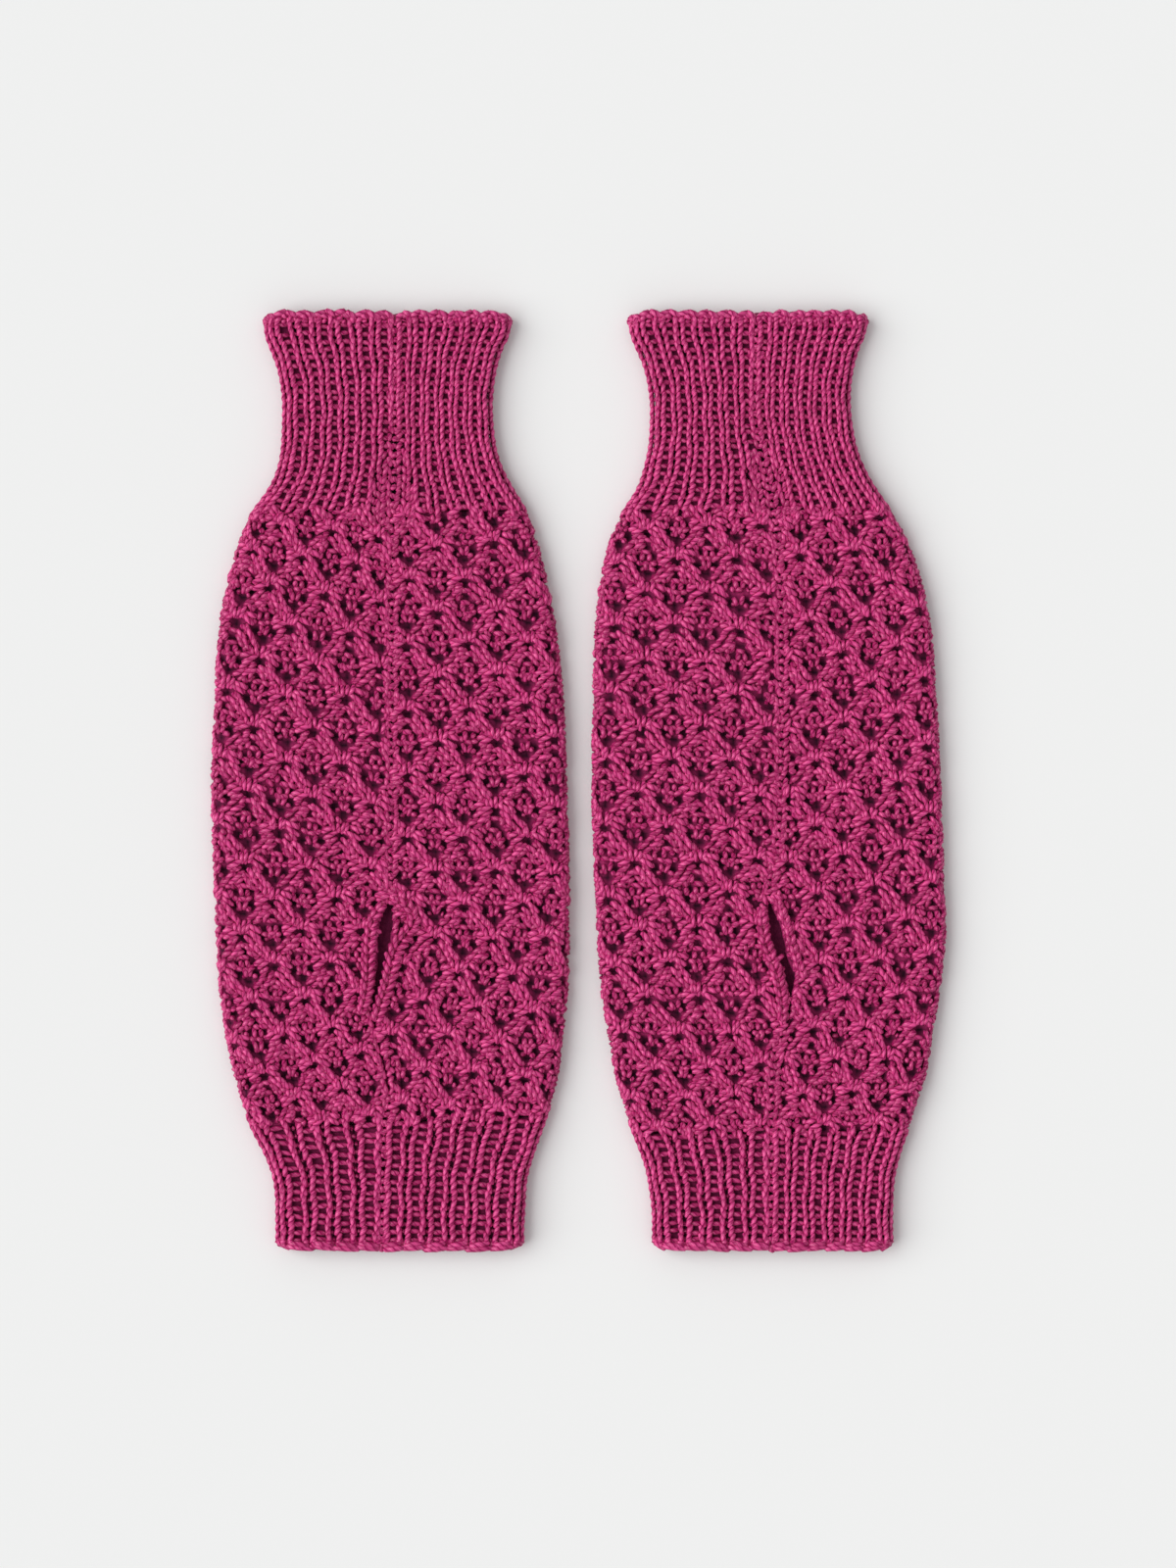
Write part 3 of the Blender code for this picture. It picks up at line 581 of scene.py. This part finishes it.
# The star lattice. Each cell hangs on one star: legs as kind, start and end, in
# quarters of a millimetre from the star, across and down
lattice = {
    "cellWide": 30.0,  # from one column of stars to the next
    "cellDeep": 34.0,  # from one half row to the next
    "kinds": {  # height off the furrows, width, and tone, which is painted light and shade: knots, arms and crests lighter, ropes, stems and bumps middling, low legs darkest
        "knot": (0.4, 1.3, 1.0), "arm": (0.44, 1.5, 0.95), "crest": (0.3, 1.45, 0.95),
        "rope": (0.06, 1.4, 0.45), "stem": (-0.05, 1.3, 0.48), "bump": (-0.05, 1.42, 0.5),
        "low": (-0.5, 1.5, 0.15),
    },
    "thick": 1.35,
    "arch": 0.55,
    "dive": 0.68,  # how far the ends go down under their neighbours
    "stretch": 0.22,  # past each charted end, as a share of the leg
    "unevenness": 0.24,
    "lift": 0.1,  # unevenness in height
    "pressed": 0.75,  # how far the stitches are level where the hand folds
    "cellShift": 0.18,
    "drift": 0.45,  # of whole patches of cells
    "seamClear": 0.8,
    "rows": 19,
}
starCell = [
    ("knot", -5, -5, -3, 4), ("knot", 0.4, -5.5, 0.6, 4.2), ("knot", 6, -4.5, 4.2, 4),
    ("knot", -10, -4.5, -7, 2.5),
    ("arm", -3.5, 2, -16, 9.5), ("arm", -9.5, -1, -18.5, 4),
    ("arm", 4, 2, 16.5, 9.5), ("arm", 8.5, -1, 18, 2.5),
    ("rope", -20.5, -27, -14.5, -20.5), ("crest", -18, -21, -10, -13.5), ("crest", -13.5, -14.5, -6.5, -7),
    ("crest", -27.5, -22, -19.5, -15), ("crest", -22.5, -16, -14.5, -8.5), ("rope", -17, -9, -9.5, -3.5),
    ("rope", -28, -14.5, -21.5, -9), ("rope", -25.5, -8.5, -18, -4.5), ("rope", -8, -11, -3, -6),
    ("rope", 20, -26, 14, -21.5), ("rope", 18.5, -20.5, 11, -14.5), ("rope", 13.5, -14, 6.5, -8.5),
    ("rope", 26.5, -21, 20, -15.5), ("crest", 23, -15, 15.5, -9.5), ("rope", 17, -8.5, 10, -4.5),
    ("rope", 27, -14.5, 21.5, -9.5), ("low", 25.5, -8, 18.5, -4.5), ("low", 8, -13, 4, -6),
    ("stem", -4, -26.5, -1.8, -19.5), ("stem", 3.8, -26.5, 1.8, -19.5), ("low", -7, -18.5, -3, -19.5),
    ("bump", 8, -17.5, 4, -18.5),
    ("bump", -4.5, 16, 4, 17.5), ("bump", -7, 19.5, -8, 26), ("bump", 6.5, 19.5, 8, 26),
    ("bump", -4.5, 28, 3.5, 29), ("bump", -16, 25.5, -11, 30), ("bump", 16, 25.5, 11, 30),
    ("bump", -4, 31.5, -3.5, 37.5), ("bump", 3.8, 31.5, 3.5, 37.5), ("bump", -14, 32, -12.5, 38),
    ("bump", 14, 32, 12.5, 38), ("bump", -9.5, 38.5, -4.5, 41), ("bump", 9.5, 38.5, 4.5, 41),
    ("low", -19.5, 29, -18.5, 37), ("low", 19.5, 29, 18.5, 37), ("bump", -6.5, 10, -10.5, 14.5),
    ("bump", 6.5, 10, 10.5, 14.5), ("bump", -3, 39.8, 3, 40.4),
    ("bump", -14, 15.5, -10.5, 20), ("bump", 14, 15.5, 10.5, 20),
]
# dark holes of the cell: across, down and radius
cellHoles = [
    (0, 9.8, 3.8), (0, 24, 3.2), (-8.2, 33.5, 2.6), (7.8, 33, 2.6), (0, 34, 1.8),
    (-9, -22, 4.2), (8.5, -21.5, 4.0), (0, -14, 3.8),
]


def latticeSpot(warmer, half, u, v):
    # u counts star columns from the seam, v half rows from the wrist
    def column(side):
        y0, x0, pitch, climb = (line(v) for line in warmer["chartAt"][side])
        end = (side * (foldX(warmer, side, y0 + climb * 6) - x0) + halfTurn) / pitch
        end = (side * (foldX(warmer, side, y0 + climb * end) - x0) + halfTurn) / pitch
        return x0, y0, pitch, climb, end

    x0, y0, pitch, climb, end = column(half)
    otherY0, otherClimb, otherEnd = (column(-half)[i] for i in (1, 3, 4))
    under = (u - end) / (warmer["allRound"] - end - otherEnd)
    y = y0 + climb * np.minimum(u, end)
    otherY = otherY0 + otherClimb * otherEnd
    y = np.where(under > 0, y + (otherY - y) * under, y)
    past = np.where(under > 0, halfTurn, half * (x0 + half * pitch * u - foldX(warmer, half, y)))
    return np.minimum(past, halfTurn), np.maximum(under, 0.0), y


def latticeCells(warmer):
    # half, column, half row and unevenness of every star, all round the tube
    cells = []
    for half in (-1, 1):
        last = warmer["allRound"] // 2 - (half > 0)
        for v in range(-1, lattice["rows"] + 1):
            for u in range(-1, last + 1):
                if (u + v) % 2 == 0:
                    shiftX, shiftY = jitter(2, lattice["cellShift"] * 4)
                    shiftX += lattice["drift"] * 4 * math.sin(1.3 * u + 0.7 * v + half)
                    shiftY += lattice["drift"] * 4 * math.sin(0.8 * u - 1.1 * v + 2 * half)
                    cells.append((half, u, v, shiftX, shiftY))
    return cells


def cellSpots(warmer, cell, across, down):
    half, u, v, shiftX, shiftY = cell
    across = half * (across + shiftX) / lattice["cellWide"]
    return latticeSpot(warmer, half, u + across, v + (down + shiftY) / lattice["cellDeep"])


def handStitches(warmer):
    chart = np.array([leg[1:] for leg in starCell], dtype=float)
    more = (chart[:, 2:] - chart[:, :2]) * lattice["stretch"]
    chart = np.hstack([chart[:, :2] - more, chart[:, 2:] + more])
    heights, widths, tonesAndShades = np.array([lattice["kinds"][leg[0]] for leg in starCell]).T
    isLow = np.array([leg[0] == "low" for leg in starCell])
    count = len(chart)
    fine, fill, plain = [], [], []
    for cell in warmer["cells"]:
        half = cell[0]
        lines = []
        for i in (0, 2):
            wander = jitter(2 * count, lattice["unevenness"] * 4).reshape(2, count)
            lines.append(cellSpots(warmer, cell, chart[:, i] + wander[0], chart[:, i + 1] + wander[1]))
        (pastA, underA, ya), (pastB, underB, yb) = lines
        lift = heights + jitter(count, lattice["lift"])
        lift = lift * (1 - lattice["pressed"] * np.clip(pastA / halfTurn * 5, 0, 1))
        a, normalA = onCloth(warmer, half, pastA, underA, ya, lift - lattice["dive"])
        b, normalB = onCloth(warmer, half, pastB, underB, yb, lift - lattice["dive"] + 0.18)
        made = legs(
            a, b, (normalA + normalB) / 2, widths + jitter(count, 0.08),
            lattice["thick"], lattice["arch"], tonesAndShades,
        )
        # only what lies in the hand and clear of the seam, slit and cuffs
        middleX, middleY = (a[:, 0] + b[:, 0]) / 2, (ya + yb) / 2
        onTop = (pastA < 0.5 * halfTurn) & (underA <= 0)
        edge = warmer["edgeAt"][half](middleY)
        clear = ~onTop | (half * (middleX - edge) > lattice["seamClear"])
        width = np.abs(foldX(warmer, half, middleY) - edge)
        share = np.clip(1 + pastA / width, 0, 1)
        within = (middleY < form["handTopY"] + 0.8) & (middleY > handEnd(warmer, half, share, underA))
        keep = clear & within
        near = pastA.mean() < 0.6 * halfTurn
        if near and (keep & ~isLow).any():
            fine.append(pick(made, keep & ~isLow))
        if near and (keep & isLow).any():
            fill.append(pick(made, keep & isLow))
        if not near and (keep & ~isLow).any():
            plain.append(pick(made, keep & ~isLow))
    return fine, fill, plain


def holeSpots(warmer):
    # Every hole on top as half, place across the spread cloth, y and radius
    spots = []
    holes = np.array(cellHoles, dtype=float)
    for cell in warmer["cells"]:
        past, under, y = cellSpots(warmer, cell, holes[:, 0], holes[:, 1])
        half = cell[0]
        flatX = foldX(warmer, half, y) + half * past
        for i in np.flatnonzero((under <= 0) & (past < 0.8 * halfTurn)):
            spots.append((half, flatX[i], y[i], holes[i, 2] / 4))
    return np.array(spots)


# The ground cloth lies under the yarn, on the solids' own form, dented at each hole, and coloured darker as
# painted shade
cloth = {
    "sink": {"Wrist": 1.2, "Hand": 0.85, "Knuckle": 1.2},  # below the solids' furrows
    "thickness": 1.0,
    "rowStep": {"Wrist": 2.4, "Hand": 1.15, "Knuckle": 3.0},
    "topSteps": {"Wrist": 24, "Hand": 38, "Knuckle": 60},
    "foldSteps": 6,
    "underSteps": 12,
    "pitDepth": 0.9,
    "furrowShade": 0.42,  # painted shade between the ribs' chains
    "flat": {  # each tube spread out: greatest width, length and area
        "leftWrist": (134.0, 50.5, 5400.0), "rightWrist": (131.0, 50.5, 5200.0),
        "leftHand": (181.0, 157.5, 26200.0), "rightHand": (179.0, 160.0, 26100.0),
        "leftKnuckle": (146.0, 33.0, 3900.0), "rightKnuckle": (136.0, 29.0, 3350.0),
    },
}


def clothShell(warmer, part, startY, endY):
    # A tube from panel edge to panel edge, open along the seam and slit
    sink, topSteps = cloth["sink"][part], cloth["topSteps"][part]
    holes = holeSpots(warmer) if part == "Hand" else None
    rowCount = int(abs(endY(1, 0.0) - startY(1, 0.0)) / cloth["rowStep"][part]) + 1
    radius = form["foldRadius"] - sink
    grid, pits = [], []
    for r in range(rowCount + 1):
        down = r / rowCount
        halves = []
        for half in (-1, 1):
            share = np.arange(topSteps + 1) / topSteps
            y = np.array([startY(half, q) * (1 - down) + endY(half, q) * down for q in share])
            edge, fold = warmer["edgeAt"][half](y), foldX(warmer, half, y)
            angles = np.arange(1, cloth["foldSteps"] + 1) / cloth["foldSteps"] * math.pi
            onFold = fold[-1] + half * angles * form["foldRadius"]
            flatX = np.concatenate([edge + (fold - edge) * share, onFold])
            allY = np.concatenate([y, np.full(len(angles), y[-1])])
            # painted shade: the ribs' ground is darkest at the edge of each repeat and shaded between the
            # chains and on the fold; the hand's ground is painted shadow round each hole, which is dented
            # as well
            if holes is None:
                ribPlace = share * topRepeats(warmer, half, y)
                pitShade = np.where(np.abs(ribPlace - np.round(ribPlace)) < 0.05, 1.0, cloth["furrowShade"])
                pitShade = np.concatenate([pitShade, np.full(len(angles), 0.6)])
                dent = np.zeros_like(pitShade)
            else:
                near = holes[holes[:, 0] == half]
                gap = np.hypot(flatX[:, None] - near[None, :, 1], allY[:, None] - near[None, :, 2])
                pitShade = np.clip(1.7 - gap / near[None, :, 3], 0, 1).max(axis=1)
                dent = cloth["pitDepth"] * pitShade
            deep = radius - dent
            turn = np.concatenate([np.zeros(topSteps + 1), angles])
            x = np.concatenate([flatX[: topSteps + 1], np.full(len(angles), fold[-1])])
            x = x + half * deep * np.sin(turn)
            z = form["foldRadius"] + deep * np.cos(turn)
            halves.append((np.stack([x, allY, z], axis=-1), pitShade))
        (left, leftPit), (right, rightPit) = halves
        inner = np.linspace(0, 1, cloth["underSteps"] + 1)[1:-1, None]
        inner = left[-1] * (1 - inner) + right[-1] * inner
        grid.append(np.concatenate([left, inner, right[::-1]]))
        # painted shade underneath, at half strength
        pits.append(np.concatenate([leftPit, np.full(len(inner), 0.5), rightPit[::-1]]))
    wide = len(grid[0])
    points = np.concatenate(grid) * metres
    faces = []
    for r in range(rowCount):
        for c in range(wide - 1):
            here = r * wide + c
            faces.append((here, here + wide, here + wide + 1, here + 1))
    name = warmer["name"] + part + "Cloth"
    data = bpy.data.meshes.new(name)
    data.from_pydata(points.tolist(), [], faces)
    data.shade_smooth()
    pitShade = data.attributes.new("pitShade", "FLOAT", "POINT")
    pitShade.data.foreach_set("value", np.concatenate(pits))
    data.materials.append(shadedGroundMaterial)
    piece = bpy.data.objects.new(name, data)
    bpy.context.scene.collection.objects.link(piece)
    if data.polygons[topSteps // 2].normal.z < 0:
        data.flip_normals()
    bpy.ops.object.select_all(action="DESELECT")
    bpy.context.view_layer.objects.active = piece
    piece.select_set(True)
    wall = piece.modifiers.new("wall", "SOLIDIFY")
    wall.thickness = cloth["thickness"] * metres
    wall.offset = -1.0
    bpy.ops.object.modifier_apply(modifier="wall")
    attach(piece, body)
    data = piece.data
    area = sum(polygon.area for polygon in data.polygons) / 2
    count = len(data.loops) - 2 * len(data.polygons)
    print(name, "one layer", round(area * 1e6), "square mm,", count, "triangles")
    return piece


# The seam: slanting stitches up each side of the line where the panels meet, short
# ones across it, and a patch of plain knitting round it at the foot of the wrist cuff
seamStitch = {
    "stitch": 2.1,
    "outer": 1.5,  # where a leg starts, off the panel edge
    "inner": 0.25,  # and where it ends
    "length": 1.35,  # leg length in stitches
    "width": 1.4,
    "patchTop": 93.0,
    "patchReach": 5.2,
    "patchStep": 1.2,
    "patchInset": 0.3,  # how far the ribs' legs run in under the patch
}


def slanting(warmer, half, rows, outer, inner, length, height, spread=0.12):
    # Legs that run down from one distance off the panel edge to another
    n = len(rows)
    ya = rows + jitter(n, spread)
    yb = rows - seamStitch["stitch"] * length + jitter(n, spread)
    xa = warmer["edgeAt"][half](ya) + half * (outer + jitter(n, spread))
    xb = warmer["edgeAt"][half](yb) + half * (inner + jitter(n, spread))
    z = form["top"] + height + jitter(n, 0.06)
    a = np.stack([xa, ya, z - 0.15], axis=-1)
    b = np.stack([xb, yb, z - 0.25], axis=-1)
    normal = np.tile([0.0, 0.0, 1.0], (n, 1))
    return legs(a, b, normal, seamStitch["width"] + jitter(n, 0.08), 1.2, 0.2, 0.5)


def seamStitches(warmer):
    made = []
    low, high = form["knuckleEdgeY"] + 0.5, form["wristEdgeY"] - 0.5
    y = np.arange(low, high, seamStitch["stitch"])
    outer, inner = seamStitch["outer"], seamStitch["inner"]
    wide = warmer["edgeAt"][1](y) - warmer["edgeAt"][-1](y)
    gapes = (y > warmer["openSeam"][0]) & (y < warmer["openSeam"][1])
    closed = (wide < 0.6) & ~gapes
    for half in (-1, 1):
        made.append(slanting(warmer, half, y, outer, inner, seamStitch["length"], 0.0, 0.28))
        rows = y[(y > form["handTopY"] - 3) & (y < seamStitch["patchTop"])]
        reach = patchReach(rows)
        offset = outer - seamStitch["patchInset"]
        while offset < seamStitch["patchReach"]:
            offset += seamStitch["patchStep"]
            here = rows[reach > offset - 0.6] + chance.uniform(-0.6, 0.6)
            lean = 0.5 * (1 if int(offset * 2) % 2 else -1)
            made.append(slanting(warmer, half, here, offset + lean, offset - lean, 1.25, 0.0, 0.22))
    # short legs across the line close it; they lean first one way, then the other
    across = np.concatenate([form["knuckleEndY"] + np.array([0.7, 1.6]), y[closed] + 0.9])
    for half in (-1, 1):
        made.append(slanting(warmer, half, across[(half + 1) // 2::2], 0.75, -0.95, 0.45, 0.1, 0.15))
    return made


# The chains that line each thumb slit: x, y, half width along their middles
slitChains = {
    "leftSlitBand": [
        (-48.4, -30.2, 1.0), (-44.4, -31.2, 1.6), (-41.6, -34.0, 1.8), (-42.0, -37.4, 2.1),
        (-44.9, -40.4, 2.4), (-47.0, -44.0, 2.4), (-47.6, -47.8, 2.3), (-48.4, -51.5, 2.2),
        (-49.8, -55.8, 2.0), (-51.0, -59.4, 1.8), (-51.4, -61.6, 1.2),
    ],
    "leftSlitLip": [
        (-49.6, -31.2, 1.0), (-52.5, -35.4, 1.6), (-53.3, -41.0, 1.9), (-53.5, -47.5, 1.9),
        (-53.8, -53.0, 1.9), (-54.7, -57.2, 1.5), (-55.2, -59.6, 0.8),
    ],
    "rightSlitBand": [
        (46.6, -32.0, 0.9), (46.7, -36.0, 1.6), (47.4, -41.0, 1.7), (49.4, -46.2, 1.7),
        (51.0, -51.0, 1.7), (51.9, -56.5, 1.5), (52.0, -61.5, 0.8),
    ],
    "rightSlitLip": [
        (50.5, -30.4, 0.6), (52.2, -33.9, 0.9), (53.7, -39.0, 1.0), (55.0, -43.8, 1.0),
        (56.5, -48.0, 0.9), (57.8, -50.4, 0.6),
    ],
    "stitch": 2.2,
    "height": 0.75,
    "legWidth": 1.38,
}


def slitStitches(path):
    spots = np.array(path)
    steps = np.linalg.norm(np.diff(spots[:, :2], axis=0), axis=1)
    travelled = np.concatenate([[0], np.cumsum(steps)])
    count = int(travelled[-1] / slitChains["stitch"])
    start = travelled[-1] / count * np.arange(count)

    def along(s, off, height):
        s = np.clip(s, 0, travelled[-1])
        x, y, half = (np.interp(s, travelled, spots[:, i]) for i in range(3))
        ahead = np.minimum(s + 0.5, travelled[-1])
        behind = np.maximum(s - 0.5, 0)
        dx = np.interp(ahead, travelled, spots[:, 0]) - np.interp(behind, travelled, spots[:, 0])
        dy = np.interp(ahead, travelled, spots[:, 1]) - np.interp(behind, travelled, spots[:, 1])
        size = np.hypot(dx, dy)
        z = np.full_like(s, form["top"]) + height
        return np.stack([x - dy / size * off * half, y + dx / size * off * half, z], axis=-1)

    made = []
    up = np.tile([0.0, 0.0, 1.0], (count, 1))
    length = slitChains["stitch"]
    height = slitChains["height"]
    for side in (-1, 1):
        a = along(start + jitter(count, 0.12), side * 0.92, height - 0.45)
        b = along(start + length * 1.3 + jitter(count, 0.12), side * 0.08, height - 0.05)
        made.append(legs(a, b, up, slitChains["legWidth"] + jitter(count, 0.08), 1.3, 0.35, 0.65))
    # the chain's own far side, which closes it underneath, darker as painted shade
    for off in (-0.4, 0.4):
        a = along(start - 0.4, np.full(count, off), 0.1)
        b = along(start + length * 1.4, np.full(count, off), 0.1)
        made.append(legs(a, b, up, 1.8, 1.0, 0.1, 0.2))
    return made


# Edge loops: long legs that overlap like a rope. 1 is the wrist end, -1 the knuckle end.
edges = {
    "corner": {1: 2.6, -1: 1.7},  # how far each side corner is rounded off
    "cornerReach": {1: 5.2, -1: 3.6},
    "dip": {1: 0.8, -1: 0.0},
    "dipReach": 5.0,
    "scallop": {1: 0.4, -1: 0.25},
    "rimWidth": 1.7,
    "rimThick": 1.9,
    "loopWidth": 1.6,
    "wristLoops": [  # along a rib repeat, and from the rib (0) to the end (1)
        (-0.16, 0.5, 0.5, 1.0, 0.5), (0.36, 1.0, 1.1, 0.6, 0.45), (0.04, -0.15, 0.24, 0.62, 0.3),
        (0.24, 0.48, 0.72, 0.6, 0.32), (0.66, 0.6, 0.88, -0.1, 0.3), (0.46, -0.1, 0.52, 0.3, 0.05),
        (0.86, 0.3, 1.1, 0.1, 0.1),
    ],
    "knuckleLoops": [
        (-0.2, 1.0, 1.1, 0.66, 0.4), (-0.05, 0.6, 0.95, 0.1, 0.45),
        (0.1, -0.4, 0.22, 0.3, 0.1), (0.8, -0.4, 0.72, 0.2, 0.1),
    ],
}


def edgeEnd(warmer, half, q, endY):
    # The cuff's end along the edge: rounded corners, scallops, and a dip at the seam
    sign = math.copysign(1, endY)
    width = np.abs(foldX(warmer, half, endY) - warmer["edgeAt"][half](endY))
    share = np.clip(q / topRepeats(warmer, half, endY), 0, 1)
    turned = np.clip((q - topRepeats(warmer, half, endY)) / ribs["sideRepeats"], 0, 1)
    toSide = width * (1 - share) + form["foldRadius"] * (1 - np.sin(turned * math.pi))
    toSeam = width * share
    inCorner = np.clip(1 - toSide / edges["cornerReach"][sign], 0, 1)
    corner = edges["corner"][sign] * (1 - np.sqrt(1 - inCorner**2))
    dip = edges["dip"][sign] * np.maximum(0, 1 - toSeam / edges["dipReach"]) ** 1.5
    scallop = edges["scallop"][sign] * (1 - np.abs(np.sin(math.pi * q))) ** 2
    return endY - sign * (corner + dip + scallop)


def edgeStitches(warmer, loops, startY, endY):
    fine = []
    for half in (-1, 1):
        n = topRepeats(warmer, half, endY) + ribs["sideRepeats"] + ribs["underRepeats"] // 2
        first = np.arange(n, dtype=float)
        for qa, ta, qb, tb, height in loops:
            spots = []
            for q, t in ((qa, ta), (qb, tb)):
                where = first + q + jitter(n, 0.04)
                y = startY + (edgeEnd(warmer, half, where, endY) - startY) * (t + jitter(n, 0.07))
                past, under = ribSpot(warmer, half, np.maximum(where, 0), y)
                spots.append(onCloth(warmer, half, past, under, y, height - 0.15))
            (a, normalA), (b, normalB) = spots
            width = edges["loopWidth"] + jitter(n, 0.08)
            fine.append(legs(a, b, (normalA + normalB) / 2, width, 1.6, 0.3, 0.62))
        # the rim: a rope that closes the end of the wall
        count = n * 3
        q = np.arange(count) / 3
        for lift, shift, back in ((-1.5, 0.0, 1.2), (-0.6, 0.17, 1.4)):
            spots = []
            for offset, rise in ((0.0, -0.2), (0.46, 0.2)):
                where = q + shift + offset
                y = edgeEnd(warmer, half, where, endY) - back * math.copysign(1, endY)
                past, under = ribSpot(warmer, half, where, y)
                height = np.where(under > 0, 0.0, lift) + rise
                spots.append(onCloth(warmer, half, past, under, y + jitter(count, 0.1), height))
            (a, normalA), (b, normalB) = spots
            rope = legs(a, b, (normalA + normalB) / 2, edges["rimWidth"], edges["rimThick"], 0.1, 0.4)
            fine.append(rope)
    return fine


def level(y):
    return lambda half, share, under=0.0: y


def inEdge(warmer, endY):
    # Just inside the rim, all along it
    inset = math.copysign(1.2, endY)
    return lambda half, share, under=0.0: (
        float(edgeEnd(warmer, half, share * topRepeats(warmer, half, endY), endY)) - inset
    )


floorLook = {"size": 3000.0, "colour": "f2f2f1"}


def makeFloor():
    bpy.ops.mesh.primitive_plane_add(size=floorLook["size"] * metres, location=(0, 0, -0.0001))
    floor = bpy.context.object
    floor.name = "floor"
    material, tree, shader = newMaterial("matPaper")
    shader.inputs["Base Color"].default_value = hexColour(floorLook["colour"])
    shader.inputs["Roughness"].default_value = 0.95
    shader.inputs["Specular IOR Level"].default_value = 0.1
    floor.data.materials.append(material)
    return floor


makeFloor()

for side, warmer in warmers.items():
    gap = form["partGap"]
    lowEnd = lambda half, share, under=0.0: handEnd(warmer, half, share, under)
    lowStart = lambda half, share, under=0.0: handEnd(warmer, half, share, under) - gap
    warmer["cells"] = latticeCells(warmer)
    wristCloth = clothShell(warmer, "Wrist", level(form["handTopY"]), inEdge(warmer, form["wristEndY"]))
    handCloth = clothShell(warmer, "Hand", lowEnd, level(form["handTopY"] - gap))
    knuckleCloth = clothShell(warmer, "Knuckle", inEdge(warmer, form["knuckleEndY"]), lowStart)
    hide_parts(side + "_wrist_rib")
    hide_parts(side + "_hand")
    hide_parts(side + "_knuckle_rib")

    fine, plain = ribStitches(warmer, level(form["handTopY"]), level(form["wristEdgeY"] + 0.3))
    wristRib = legMesh(side + "WristRib", fine, "fine", yarnMaterial)
    wristRibUnder = legMesh(side + "WristRibUnder", plain, "plain", yarnMaterial)
    fine, plain = ribStitches(warmer, level(form["knuckleEdgeY"] - 0.6), lowStart)
    knuckleRib = legMesh(side + "KnuckleRib", fine, "fine", yarnMaterial)
    knuckleRibUnder = legMesh(side + "KnuckleRibUnder", plain, "plain", yarnMaterial)
    fine, fill, plain = handStitches(warmer)
    handStars = legMesh(side + "HandStars", fine, "fine", yarnMaterial)
    handFill = legMesh(side + "HandFill", fill, "plain", yarnMaterial)
    handStarsUnder = legMesh(side + "HandStarsUnder", plain, "plain", yarnMaterial)
    seam = legMesh(side + "Seam", seamStitches(warmer), "fine", yarnMaterial)
    slitBand = legMesh(side + "SlitBand", slitStitches(slitChains[side + "SlitBand"]), "fine", yarnMaterial)
    slitLip = legMesh(side + "SlitLip", slitStitches(slitChains[side + "SlitLip"]), "fine", yarnMaterial)
    loops = edgeStitches(warmer, edges["wristLoops"], form["wristEdgeY"], form["wristLoopsY"])
    wristEdge = legMesh(side + "WristEdge", loops, "fine", yarnMaterial)
    loops = edgeStitches(warmer, edges["knuckleLoops"], form["knuckleEdgeY"], form["knuckleLoopsY"])
    knuckleEdge = legMesh(side + "KnuckleEdge", loops, "fine", yarnMaterial)
    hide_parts(side + "_slit_band")
    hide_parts(side + "_slit_lip")
    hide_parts(side + "_wrist_edge")
    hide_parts(side + "_knuckle_edge")

# Soft light from the left and all round, as in a light tent
light = {
    "sunTilt": 48.0,  # degrees from straight down
    "sunFrom": 178.0,  # degrees round from +X, so from the left
    "sunSize": 60.0,  # degrees across
    "sunStrength": 2.2,
    "tent": "f4f5f6",
    "tentStrength": 0.563,
}


def makeLight():
    sun = bpy.data.lights.new("softSun", "SUN")
    sun.energy = light["sunStrength"]
    sun.angle = math.radians(light["sunSize"])
    lamp = bpy.data.objects.new("softSun", sun)
    bpy.context.scene.collection.objects.link(lamp)
    lamp.rotation_euler = (0, math.radians(light["sunTilt"]), math.radians(light["sunFrom"]))
    lamp.location = (-0.4, 0.6, 1.0)
    world = bpy.data.worlds.new("lightTent")
    world.use_nodes = True
    back = world.node_tree.nodes["Background"]
    back.inputs[0].default_value = hexColour(light["tent"])
    back.inputs[1].default_value = light["tentStrength"]
    bpy.context.scene.world = world


makeLight()
bpy.context.scene.view_settings.view_transform = "Standard"

camera = {
    "centre": (2.4, -1.0),  # mm, the middle of the picture
    "height": 1200.0,  # above the middle of the cloth
    "frameHeight": 400.0,
    "sensor": 36.0,
}


def makeCamera():
    lens = bpy.data.cameras.new("overhead")
    lens.sensor_fit = "AUTO"
    lens.sensor_width = camera["sensor"]
    lens.lens = camera["sensor"] * camera["height"] / camera["frameHeight"]
    lens.clip_start, lens.clip_end = 0.01, 20
    holder = bpy.data.objects.new("overhead", lens)
    bpy.context.scene.collection.objects.link(holder)
    x, y = camera["centre"]
    z = camera["height"] + form["foldRadius"]
    holder.location = (x * metres, y * metres, z * metres)
    bpy.context.scene.camera = holder


makeCamera()
